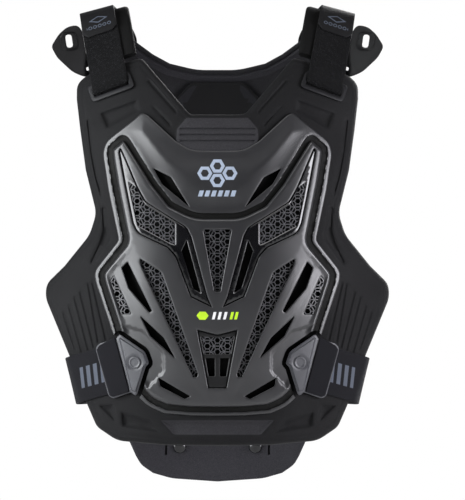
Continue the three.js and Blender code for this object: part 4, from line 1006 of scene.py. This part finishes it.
# An insert whose edge lies under the shell and whose raised part fills the opening.
def ventFrame(name, corners, holes, material):
    look = ventLook
    opening = rounded(corners, 1.8, 0.8)
    edge = spaced(inset(opening, -look["margin"]), 1.8)
    raised = spaced(inset(opening, look["gap"]), 1.6)
    lines = [raised, inset(raised, 0.4), inset(raised, 1.2)]
    lines += [inset(hole, -0.8) for hole in holes]
    layout = layOut(edge, holes, lines, look["spacing"])
    xz = layout[0]
    inside = signedDistance(xz, raised)
    rise = level["insert"] - level["vent"]
    top = level["vent"] + rise * roundOver(inside / 1.2) * (inside > 0)
    for hole in holes:
        gap = -nearDistance(xz, hole, 4)
        top -= 0.5 * (1 - roundOver(gap / 0.8))
    return plate(name, layout, top, top - look["wall"], onChest, material, sharpAngle=32)


# Joins meshes into one piece.
def joined(name, pieces, slot, *replaced):
    bpy.ops.object.select_all(action="DESELECT")
    for piece in pieces:
        piece.select_set(True)
    bpy.context.view_layer.objects.active = pieces[0]
    bpy.ops.object.join()
    pieces[0].name = name
    pieces[0].data.name = name
    return finished(pieces[0], slot, *replaced)


def simpleGrid(name, corners, node):
    area = rounded(corners, 2, 0.6)
    wide = spaced(inset(area, -ventLook["margin"]), 2)
    grid = clippedGrid(name, wide, level["vent"], gridPlastic)
    rim = layOut(wide, [spaced(inset(area, -0.6), 2)], [], 3)
    face = level["vent"]
    frameRim = plate(name + "Rim", rim, face, face - gridLook["thickness"], onChest, gridPlastic)
    joined(name, [grid, frameRim], "vent_plastic", node)


def vents():
    gridFace = level["insert"] - ventLook["gridDrop"]
    for name, side in sides.items():
        simpleGrid("longVent_" + name, placed(longVent, shellSize, side), "long_vent_mesh_" + name)
        simpleGrid("smallVent_" + name, placed(smallVent, shellSize, side), "small_vent_mesh_" + name)
        meshArea = rounded(placed(sideVentMesh, shellSize, side), 2, 0.8)
        slot = rounded(placed(sideVentSlot, shellSize, side), 2, 0.8)
        corners = placed(sideVent, shellSize, side)
        body = ventFrame("sideVent_" + name, corners, [meshArea, slot], insertPlastic)
        grid = clippedGrid("sideGrid_" + name, meshArea, gridFace, gridPlastic)
        joined("sideVent_" + name, [body, grid], "vent_plastic", "side_vent_insert_" + name)
    simpleGrid("centreVent", mirrored(centreVent, shellSize), "centre_vent_mesh")
    meshArea = rounded(mirrored(lowerVentMesh, shellSize), 2, 0.8)
    slots = [rounded(placed(lowerVentSlot, shellSize, side), 2, 0.8) for side in bothSides]
    body = ventFrame("lowerVent", mirrored(lowerVent, shellSize), [meshArea, *slots], blackPlastic)
    grid = clippedGrid("lowerGrid", meshArea, gridFace, gridPlastic)
    joined("lowerVent", [body, grid], "vent_plastic", "lower_vent_insert")


vents()
print("vents made")

# Buckles

buckleLook = {"spacing": 1.6, "edge": 1.0, "plateRound": 1.4, "dish": 0.7, "buttonRadius": 6.5, "shank": 2.8}


def buckle(name, side):
    look = buckleLook
    outline = rounded(onBuckle(buckleOutline, side), 1.2, 1)
    opening = rounded(onBuckle(buckleOpening, side), 1.2, 2)
    raised = rounded(onBuckle(bucklePlate, side), 1.2, 1)
    centre = onBuckle([(0, 0)], side)[0]
    lines = [inset(outline, d) for d in (0.3, 1)] + [inset(opening, d) for d in (-0.3, -1)]
    lines += [raised, inset(raised, 0.5), inset(raised, 1.4)]
    layout = layOut(outline, [opening], lines, look["spacing"])
    xz = layout[0]
    inside = nearDistance(xz, raised, 4)
    rise = level["bucklePlate"] - level["buckleFrame"]
    top = level["buckleFrame"] + rise * smooth((inside + 0.1) / look["plateRound"])
    gap = np.minimum(signedDistance(xz, outline), -nearDistance(xz, opening, 4))
    top -= look["edge"] * (1 - roundOver(gap / 1.2))
    dish = np.hypot(xz[:, 0] - centre[0], xz[:, 1] - centre[1])
    top -= look["dish"] * (1 - smooth((dish - look["buttonRadius"] - 0.8) / 1.2))
    body = plate(name, layout, top, level["buckle"], onChest, bucklePlastic, sharpAngle=34)
    finished(body, "buckle_plastic", name)


# A round piece that stands on a curved surface. Profile rows are a radius and a height.
def lathe(name, centre, profile, surface, material, turns=40):
    points, faces = [], []
    for radius, height in profile:
        points.append(surface(*circleRing(centre, radius, turns).T, height))
    points = np.concatenate(points)
    for i in range(len(profile) - 1):
        for k in range(turns):
            n = (k + 1) % turns
            faces.append((i * turns + k, i * turns + n, (i + 1) * turns + n, (i + 1) * turns + k))
    faces.append(tuple(reversed(range(turns))))
    faces.append(tuple((len(profile) - 1) * turns + k for k in range(turns)))
    if surface is onBack:
        faces = [f[::-1] for f in faces]
    return meshOf(name, points, faces, material, 40)


def buckleButton(name, side):
    look = buckleLook
    centre = onBuckle([(0, 0)], side)[0]
    seat = level["bucklePlate"] - look["dish"]
    r = look["buttonRadius"]
    profile = [
        (look["shank"], level["shellSeat"]), (look["shank"], seat), (r, seat), (r, seat + 0.9),
        (r - 0.3, seat + 1.3), (r - 0.8, seat + 1.5), (r - 1.5, seat + 1.5), (r - 1.9, seat + 1.2),
        (r - 3, seat + 1.15), (0.4, seat + 1.2),
    ]
    piece = lathe("buckleButton_" + name, centre, profile, onChest, bucklePlastic)
    finished(piece, "buckle_plastic", "buckle_button_" + name)


for name, side in sides.items():
    buckle("buckle_" + name, side)
    buckleButton(name, side)
print("buckles made")

# Shoulder webbing

columns = np.array([-0.5, -0.492, -0.47, -0.4, -0.25, 0, 0.25, 0.4, 0.47, 0.492, 0.5])


def bezier(points, count):
    t = np.linspace(0, 1, count)[:, None, None]
    a, b, c, d = points
    return (1 - t) ** 3 * a + 3 * t * (1 - t) ** 2 * b + 3 * t * t * (1 - t) * c + t ** 3 * d


def withLength(vectors, length):
    return vectors / np.linalg.norm(vectors, axis=-1)[..., None] * length


def rowOnPad(side, spot, z, height, surface, shares):
    across = shares * straps["widthInSlot"]
    lean = straps["lean"] * (z - spot[1] - 2) if surface is onChest else 0
    x = spot[0] + max(lean, 0) + across
    return surface(side * x, z - across * math.tan(math.radians(straps["tilt"])), height)


# Rows across the webbing: on the front pad, over the shoulder, and on the back pad.
def strapRows(side, shares=columns, steps=26):
    parts = {}
    for name, surface in (("front", onChest), ("rear", onBack)):
        x, z, top = straps[name]
        under = z + (straps["slotOpening"] / 2 - straps["gap"]) / math.cos(math.radians(straps["tilt"]))
        over = z + straps["slotOpening"] / 2 + straps["bar"] + 1
        fold = under - straps["sag"]
        path = [(under + straps["tail"], -straps["gap"]), (under + 6, -straps["gap"]), (under, 1), (fold, 5),
                (fold, level["strap"] - 2.5), (fold + 2.5, level["strap"])]
        rows = [rowOnPad(side, (x, z), place, height, surface, shares) for place, height in path]
        for place in np.linspace(over, top, max(2, round((top - over) / 8) + 1)):
            rows.append(rowOnPad(side, (x, z), place, level["strap"], surface, shares))
        parts[name] = rows
    tilt = math.radians(straps["apexTilt"])
    along = shares * straps["width"]
    x, y, z = straps["apex"]
    apex = np.stack([side * (x + along * math.cos(tilt)), np.full(len(shares), float(y)),
                     z - along * math.sin(tilt)], 1)
    flat = np.array([0, straps["apexReach"], 0])
    front, rear = parts["front"], parts["rear"]
    rise = withLength(front[-1] - front[-2], straps["frontRise"])
    fall = withLength(rear[-1] - rear[-2], straps["rearRise"])
    up = bezier([front[-1], front[-1] + rise, apex - flat, apex], steps)
    down = bezier([apex, apex + flat, rear[-1] + fall, rear[-1]], steps)
    arch = np.concatenate([up, down[1:]])
    return np.array(front[:-1]), arch, np.array(rear[:-1])[::-1]


# Cuts the corners of a path of rows, and keeps its ends.
def softened(rows, passes=2):
    for _ in range(passes):
        near, far = rows[:-1], rows[1:]
        mixed = np.stack([0.75 * near + 0.25 * far, 0.25 * near + 0.75 * far], 1).reshape(-1, *rows.shape[1:])
        rows = np.concatenate([rows[:1], mixed, rows[-1:]])
    return rows


def liftedRows(rows, distance):
    along = np.gradient(rows, axis=0)
    across = np.gradient(rows, axis=1)
    return rows + withLength(np.cross(along, across), distance)


def lengthsOf(rows):
    middle = rows.mean(1)
    return np.concatenate([[0], np.cumsum(np.linalg.norm(np.diff(middle, axis=0), axis=1))])


# Rows spread evenly between two lengths along a path.
def portion(rows, start, end, count):
    lengths = lengthsOf(rows)
    wanted = np.linspace(start, end, count)
    flat = rows.reshape(len(rows), -1)
    cut = np.stack([np.interp(wanted, lengths, flat[:, k]) for k in range(flat.shape[1])], 1)
    return cut.reshape(count, *rows.shape[1:])


def shoulderStrap(name, side):
    front, arch, rear = strapRows(side)
    path = softened(np.concatenate([front, arch, rear]))
    piece = ribbon("shoulderStrap_" + name, path, straps["thickness"], -side, loopFabric)
    finished(piece, "loop_webbing", "shoulder_strap_" + name)


tabLook = {"front": 43, "rear": 40, "chamfer": 6, "gap": 0.5, "rows": 60}


# The webbing's end, turned back on top, narrowing to its cut-off tip.
def strapTab(name, side):
    _, arch, _ = strapRows(side)
    apex = lengthsOf(arch)[len(arch) // 2]
    top = liftedRows(arch, -side * (straps["thickness"] + tabLook["gap"]))
    rows = portion(top, apex - tabLook["front"], apex + tabLook["rear"], tabLook["rows"])
    lengths = lengthsOf(rows)
    middle = rows.mean(1, keepdims=True)
    half = straps["width"] / 2
    narrow = np.clip(1 - lengths / tabLook["chamfer"], 0, 1) * tabLook["chamfer"] / half
    rows = middle + (rows - middle) * (1 - narrow)[:, None, None]
    piece = ribbon("strapTab_" + name, rows, straps["thickness"], -side, labelFabric)
    finished(piece, "label_webbing", "strap_tab_" + name)


shoulderPadLook = {"frontCut": 14, "rearCut": 28, "rows": 60, "edge": 0.42, "lip": 4}


def shoulderPad(name, side):
    look = shoulderPadLook
    inner, outer = straps["padInner"], straps["padOuter"]
    shares = np.array([-inner, -inner + 1, -30, -22, -12, 0, 6, 11, outer - 0.8, outer]) / straps["width"]
    _, arch, _ = strapRows(side, np.array([-0.5, 0.5]))
    middle = arch.mean(1)
    across = withLength(arch[:, 1] - arch[:, 0], straps["width"])
    behind = np.clip((np.arange(len(arch)) - len(arch) // 2) / (len(arch) // 2), 0, 1)
    reach = 1 + behind * (straps["padRearInner"] / inner - 1)
    inward = np.where(shares < 0, shares[None] * reach[:, None], shares[None])
    rows = middle[:, None] + across[:, None] * inward[..., None]
    rows = liftedRows(rows, side * (straps["padThickness"] + straps["gap"]))
    rows = portion(rows, look["frontCut"], lengthsOf(rows)[-1] - look["rearCut"], look["rows"])
    piece = ribbon("shoulderPad_" + name, rows, straps["padThickness"], -side, padFoam,
                   look["edge"], look["lip"])
    finished(piece, "foam", "shoulder_pad_" + name, fill=0.8)


slotFrameLook = {"spacing": 1.8, "ringStep": 1.5, "edge": 1.0, "edgeRound": 1.4}


def slotFrame(name, spot, side, surface, node):
    look = slotFrameLook
    hole = slotRing(spot, side, 0, look["ringStep"])
    outer = slotRing(spot, side, straps["bar"], look["ringStep"])
    lines = [inset(outer, d) for d in (0.4, 1.2)] + [inset(hole, -d) for d in (0.4, 1.2)]
    layout = layOut(outer, [hole], lines, look["spacing"])
    xz = layout[0]
    gap = np.minimum(signedDistance(xz, outer), -nearDistance(xz, hole, 6))
    top = level["slotFrame"] - look["edge"] * (1 - roundOver(gap / look["edgeRound"]))
    piece = plate(name, layout, top, level["shellSeat"], surface, framePlastic, sharpAngle=34)
    finished(piece, "black_plastic", node)


for name, side in sides.items():
    shoulderStrap(name, side)
    strapTab(name, side)
    shoulderPad(name, side)
    slotFrame("frontSlotFrame_" + name, straps["front"][:2], side, onChest, "front_strap_frame_" + name)
    slotFrame("rearSlotFrame_" + name, straps["rear"][:2], side, onBack, "rear_strap_frame_" + name)
print("shoulder webbing made")

# Side webbing

sideLook = {
    "width": 51, "fall": 16, "start": 4.3, "lift": 35, "bulge": 22, "drop": 20, "rearAcross": 124,
    "inset": 12, "thickness": 2, "backThickness": 10, "loopRise": 1.7, "loopRound": 1.6,
}
buckleLoopOutline = [(36.5, 39.5), (67, 26), (71, 19.5), (47, -51), (40, -53.4), (9.5, -45.2)]


# The webbing's fold over the buckle's outer bar, which leaves a thin line of the frame to be seen.
def buckleLoop(name, side):
    outline = rounded(onBuckle(buckleLoopOutline, side), 1.5, 1)
    layout = layOut(outline, [], roundingRings(outline, sideLook["loopRound"]), 2.5)
    edge = signedDistance(layout[0], outline)
    face = level["buckleFrame"] + sideLook["loopRise"] - 1.2 * (1 - roundOver(edge / sideLook["loopRound"]))
    under = level["buckleFrame"] + 0.15
    return plate("buckleLoop_" + name, layout, face, under, onChest, loopWebbing, sharpAngle=50)


def sideStrap(name, side):
    look = sideLook
    fall = math.radians(look["fall"])
    x, z = placed([buckleSpot], shellSize)[0]
    up = columns * look["width"]
    onFront = []
    reach = (padSize[0] - look["lift"] - x) / math.cos(fall)
    for along in np.linspace(look["start"], reach, 14):
        across = x + along * math.cos(fall) + up * math.sin(fall)
        height = z - along * math.sin(fall) + up * math.cos(fall)
        onFront.append(onChest(side * across, height, level["webbing"]))
    onRear = []
    for k in range(10):
        across = np.full(len(up), side * (look["rearAcross"] - k * look["inset"] / 3))
        onRear.append(onBack(across, z - look["drop"] + up, look["backThickness"] + straps["gap"]))
    leave = withLength(onFront[-1] - onFront[-2], look["bulge"])
    arrive = withLength(onRear[0] - onRear[1], look["bulge"])
    free = bezier([onFront[-1], onFront[-1] + leave, onRear[0] + arrive, onRear[0]], 44)
    rows = np.concatenate([onFront, free[1:], onRear[1:]])
    piece = ribbon("sideStrap_" + name, rows, look["thickness"], side, sideWebbing)
    joined("sideStrap_" + name, [piece, buckleLoop(name, side)], "elastic_webbing", "side_strap_" + name)


for name, side in sides.items():
    sideStrap(name, side)
print("side webbing made")

# Back pad, lining, back shell, wings and snaps

backLook = {
    "spacing": 4, "thickness": 10, "edge": 5.5, "edgeRise": 5, "underEdge": 2.2, "underRise": 1.6,
    "collar": (3.5, 5.2, 7.5, 13), "rimDepth": 2.4, "rollHighlightAbove": -110, "tailBelow": -400,
    "slitDepth": 6, "slitAcross": 56, "slitWidth": 2.4, "slitLength": 18,
    "snapAcross": 41, "snapHeight": -467, "snapRadius": 7.2, "snapShank": 2.6, "snapDome": 4,
}
backRing = rounded(mirrored(backOutline, backSize), 3)


def backPad():
    look = backLook
    holes, slits = [], []
    for side in bothSides:
        holes.append(slotRing(straps["rear"][:2], side, 0.4))
        holes.append(circleRing((side * look["snapAcross"], look["snapHeight"]), look["snapShank"] + 0.4, 16))
        spot = (look["slitAcross"], look["snapHeight"])
        slits.append(rounded(slantedBox(spot, look["slitWidth"], look["slitLength"], side, 0, 1), 1.2))
    collar = [inset(backRing, d) for d in look["collar"]]
    lines = [inset(backRing, 1), *collar, *slits, *[inset(slit, 0.5) for slit in slits]]
    layout = layOut(backRing, holes, lines, look["spacing"])
    xz = layout[0]
    edge = signedDistance(xz, backRing)
    top = look["thickness"] - look["edgeRise"] * (1 - roundOver(edge / look["edge"]))
    lip, dip, rise, end = look["collar"]
    upper = smooth((xz[:, 1] + 130) / 40)
    hollow = (smooth((edge - lip) / (dip - lip)) - smooth((edge - dip) / (rise - dip))
              + smooth((edge - rise) / (end - rise)))
    roll = look["underRise"] * (1 - roundOver(edge / look["underEdge"]))
    roll += look["rimDepth"] * upper * hollow
    for slit in slits:
        roll += look["slitDepth"] * smooth(nearDistance(xz, slit, 3) / 0.4)

    def inner(middle):
        fromEdge = signedDistance(middle, backRing)
        # Painted highlight: the raised roll inside the neck edge takes a lighter foam for the light it
        # catches.
        paintedRollHighlight = (fromEdge > dip) & (fromEdge < end) & (middle[:, 1] > look["rollHighlightAbove"])
        return np.where(middle[:, 1] < look["tailBelow"], 2, paintedRollHighlight.astype(int))

    return plate("backPad", layout, top, roll, onBack, backFoam, None, [rollHighlightFoam, tailFoam], 60, inner)


finished(backPad(), "foam", "back_pad", fill=0.9)


liningLook = {
    "spacing": 5, "thickness": 3, "edge": 4, "creaseDepth": 1.2, "creaseWidth": 2.2,
    "tapeFromEdge": (3, 10), "tapeAcross": (24, 52), "tapeHeight": (-105, -72),
}


def backLining():
    look = liningLook
    ring = rounded(mirrored(liningOutline, backSize), 3)
    lines = [inset(ring, 1), inset(ring, 2.5), inset(ring, look["edge"])]
    layout = layOut(ring, [], lines, look["spacing"])
    xz = layout[0]
    edge = signedDistance(xz, ring)
    under = -0.5 - look["thickness"] * roundOver(edge / look["edge"])
    crease = 1 - smooth(np.abs(xz[:, 0]) / look["creaseWidth"])
    under += look["creaseDepth"] * crease * smooth((edge - 6) / 4)

    def inner(middle):
        places = (signedDistance(middle, ring), np.abs(middle[:, 0]), middle[:, 1])
        taped = np.ones(len(middle), bool)
        for place, key in zip(places, ("tapeFromEdge", "tapeAcross", "tapeHeight")):
            taped &= (place > look[key][0]) & (place < look[key][1])
        return taped.astype(int)

    piece = plate("backLining", layout, -0.4, under, onBack, liningFabric, None, [tapeFabric], 60, inner)
    finished(piece, "mesh_lining", "back_lining")


backLining()

backShellLook = {
    "spacing": 3.4, "wall": 2.5, "rise": 5, "tier": 14, "tierSlope": 4,
    "grooves": 7, "grooveDepth": 1.6, "grooveReach": 3.2, "bow": 10,
}


def backShell():
    look = backShellLook
    ring = rounded(mirrored(backShellOutline, backShellSize), 2.5)
    tier = spaced(inset(ring, look["tier"]), 2.5)
    lines = [inset(ring, 0.6), inset(ring, 1.6), tier, inset(tier, 2), inset(tier, look["tierSlope"])]
    low, high = [backShellSize[2] - share * backShellSize[1] for share in (0.88, 0.12)]
    places = np.linspace(low, high, look["grooves"])
    across = np.linspace(-48, 48, 41)
    for place in places:
        for step in (-3.2, -1.6, 0, 1.6, 3.2):
            curve = np.column_stack([across, place + step + look["bow"] * (np.abs(across) / 60) ** 1.6])
            curve = curve[signedDistance(curve, tier) > look["tierSlope"] + 1]
            lines.append(np.concatenate([curve, curve[::-1] + (0, 0.05)]))
    layout = layOut(ring, [], lines, look["spacing"])
    xz = layout[0]
    edge = signedDistance(xz, ring)
    inside = signedDistance(xz, tier)
    seat = level["shellSeat"] + look["wall"]
    top = seat - 1.4 * (1 - roundOver(edge / 1.6)) + look["rise"] * smooth(inside / look["tierSlope"])
    for place in places:
        middle = place + look["bow"] * (np.abs(xz[:, 0]) / 60) ** 1.6
        groove = 1 - smooth(np.abs(xz[:, 1] - middle) / look["grooveReach"])
        top -= look["grooveDepth"] * groove * smooth((inside - 5) / 5)
    piece = plate("backShell", layout, top, top - look["wall"], onBack, blackPlastic, sharpAngle=34)
    finished(piece, "black_plastic", "back_shell")


backShell()
wingLook = {"thickness": 3, "boss": 20, "bossRound": 8, "rise": 2.2, "eyelet": (6.8, 14), "eyeletTilt": 8,
            "spot": (89.2, 28), "seat": 10.5}


def shoulderWing(name, side):
    look = wingLook
    centre = placed([look["spot"]], wingSize)[0]
    outline = rounded(placed(wingOutline, wingSize, side), 1.6, 1)
    eyelet = rounded(slantedBox(centre, *look["eyelet"], side, look["eyeletTilt"], 2.7), 1.2)
    boss = slantedBox(centre, look["boss"], look["boss"], side, look["eyeletTilt"], look["bossRound"])
    boss = rounded(boss, 1.6)
    strapHole = rounded(placed(wingStrapSlot, wingSize, side), 1.6, 1)
    lines = [inset(outline, 0.5), inset(outline, 1.5), boss, inset(boss, 1.5)]
    lines += [inset(eyelet, -1), inset(strapHole, -0.8)]
    layout = layOut(outline, [eyelet, strapHole], lines, 2)
    xz = layout[0]
    edge = signedDistance(xz, outline)
    raised = nearDistance(xz, boss, 6)
    gap = -nearDistance(xz, eyelet, 6)
    face = look["seat"] - look["rise"] * smooth(raised / 1.5) + 1.0 * (1 - roundOver(edge / 1.5))
    face += 0.9 * (1 - roundOver(gap / 1.4)) + 1.1 * smooth((gap - 3) / 1.2) * smooth((raised - 1.8) / 1)
    top = look["seat"] + look["thickness"]
    piece = plate("shoulderWing_" + name, layout, top, face, onBack, blackPlastic, sharpAngle=34)
    finished(piece, "black_plastic", "shoulder_wing_" + name)


def tailSnap(name, side):
    look = backLook
    centre = (side * look["snapAcross"], look["snapHeight"])
    r, h = look["snapRadius"], look["snapDome"]
    profile = [(0.3, -0.5 - h)]
    for angle in np.linspace(8, 90, 9):
        a = math.radians(angle)
        profile.append((r * math.sin(a), -0.7 - (h - 0.2) * math.cos(a)))
    profile += [(r, -0.5), (look["snapShank"], -0.5), (look["snapShank"], 10.5), (5.2, 10.5), (5.2, 11.4),
                (4.6, 12), (0.3, 12)]
    piece = lathe("tailSnap_" + name, centre, profile, onBack, snapPlastic, 28)
    finished(piece, "snap_plastic", "tail_snap_" + name)


for name, side in sides.items():
    shoulderWing(name, side)
    tailSnap(name, side)
print("back made")

# Camera, light and floor, in metres

photo = {"width": 465, "height": 500, "mmPerPixel": 1.08, "centreX": 217.4, "topY": 16}
view = {"lens": 1400, "distance": 21.0}


def camera():
    data = bpy.data.cameras.new("camera")
    data.lens = view["lens"]
    data.sensor_width = photo["height"] * photo["mmPerPixel"] * metre / view["distance"] * view["lens"]
    data.clip_start, data.clip_end = 5, 100
    eye = bpy.data.objects.new("camera", data)
    x = (photo["width"] / 2 - photo["centreX"]) * photo["mmPerPixel"] * metre
    z = -(photo["height"] / 2 - photo["topY"]) * photo["mmPerPixel"] * metre
    eye.location = (x, -view["distance"] - 0.08, z)
    eye.rotation_euler = (math.pi / 2, 0, 0)
    bpy.context.scene.collection.objects.link(eye)
    bpy.context.scene.camera = eye


# Each lamp's place, size, power and colour, and the plain light from all round.
lamps = {
    "leftSoftbox": ((-1.85, -0.75, -0.1), (1.2, 2.1), 82, (0.95, 0.975, 1)),
    "rightSoftbox": ((1.9, -0.75, -0.3), (0.85, 1.5), 54, (0.95, 0.94, 1)),
    "topSoftbox": ((0, -1.0, 1.6), (1.8, 0.6), 16, (1, 1, 1)),
    "backSoftbox": ((0.9, 2.0, 0.5), (1.4, 1.6), 60, (1, 1, 1)),
}
worldLight = {"plain": 0.07, "camera": 0.93, "gloss": -0.04}
floorLook = {"size": 3.0, "height": -0.62}


def softbox(name, place, target, size, power, colour):
    data = bpy.data.lights.new(name, "AREA")
    data.shape = "RECTANGLE"
    data.size, data.size_y = size
    data.energy = power
    data.color = colour
    lamp = bpy.data.objects.new(name, data)
    lamp.location = place
    lamp.rotation_euler = (Vector(target) - Vector(place)).to_track_quat("-Z", "Y").to_euler()
    bpy.context.scene.collection.objects.link(lamp)


def studio():
    world = bpy.data.worlds.new("studio")
    bpy.context.scene.world = world
    world.use_nodes = True
    tree = world.node_tree
    background = tree.nodes["Background"]
    background.inputs["Color"].default_value = (1, 1, 1, 1)
    path = tree.nodes.new("ShaderNodeLightPath")
    seen = maths(tree, "MULTIPLY", path.outputs["Is Camera Ray"], worldLight["camera"])
    shone = maths(tree, "MULTIPLY", path.outputs["Is Glossy Ray"], worldLight["gloss"])
    strength = maths(tree, "ADD", maths(tree, "ADD", seen, shone), worldLight["plain"])
    tree.links.new(strength, background.inputs["Strength"])
    for name, (place, *rest) in lamps.items():
        softbox(name, place, (0, 0, -0.25), *rest)
    mesh = bpy.data.meshes.new("floor")
    size, height = floorLook["size"], floorLook["height"]
    corners = [(a * size, b * size, height) for a, b in ((-1, -1), (1, -1), (1, 1), (-1, 1))]
    mesh.from_pydata(corners, [], [(0, 1, 2, 3)])
    floor = bpy.data.objects.new("floor", mesh)
    material, _, _ = shader("paleFloor", (0.8, 0.8, 0.8), 0.8)
    mesh.materials.append(material)
    bpy.context.scene.collection.objects.link(floor)


camera()
studio()
bpy.context.scene.view_settings.view_transform = "Standard"
print("camera and light made")
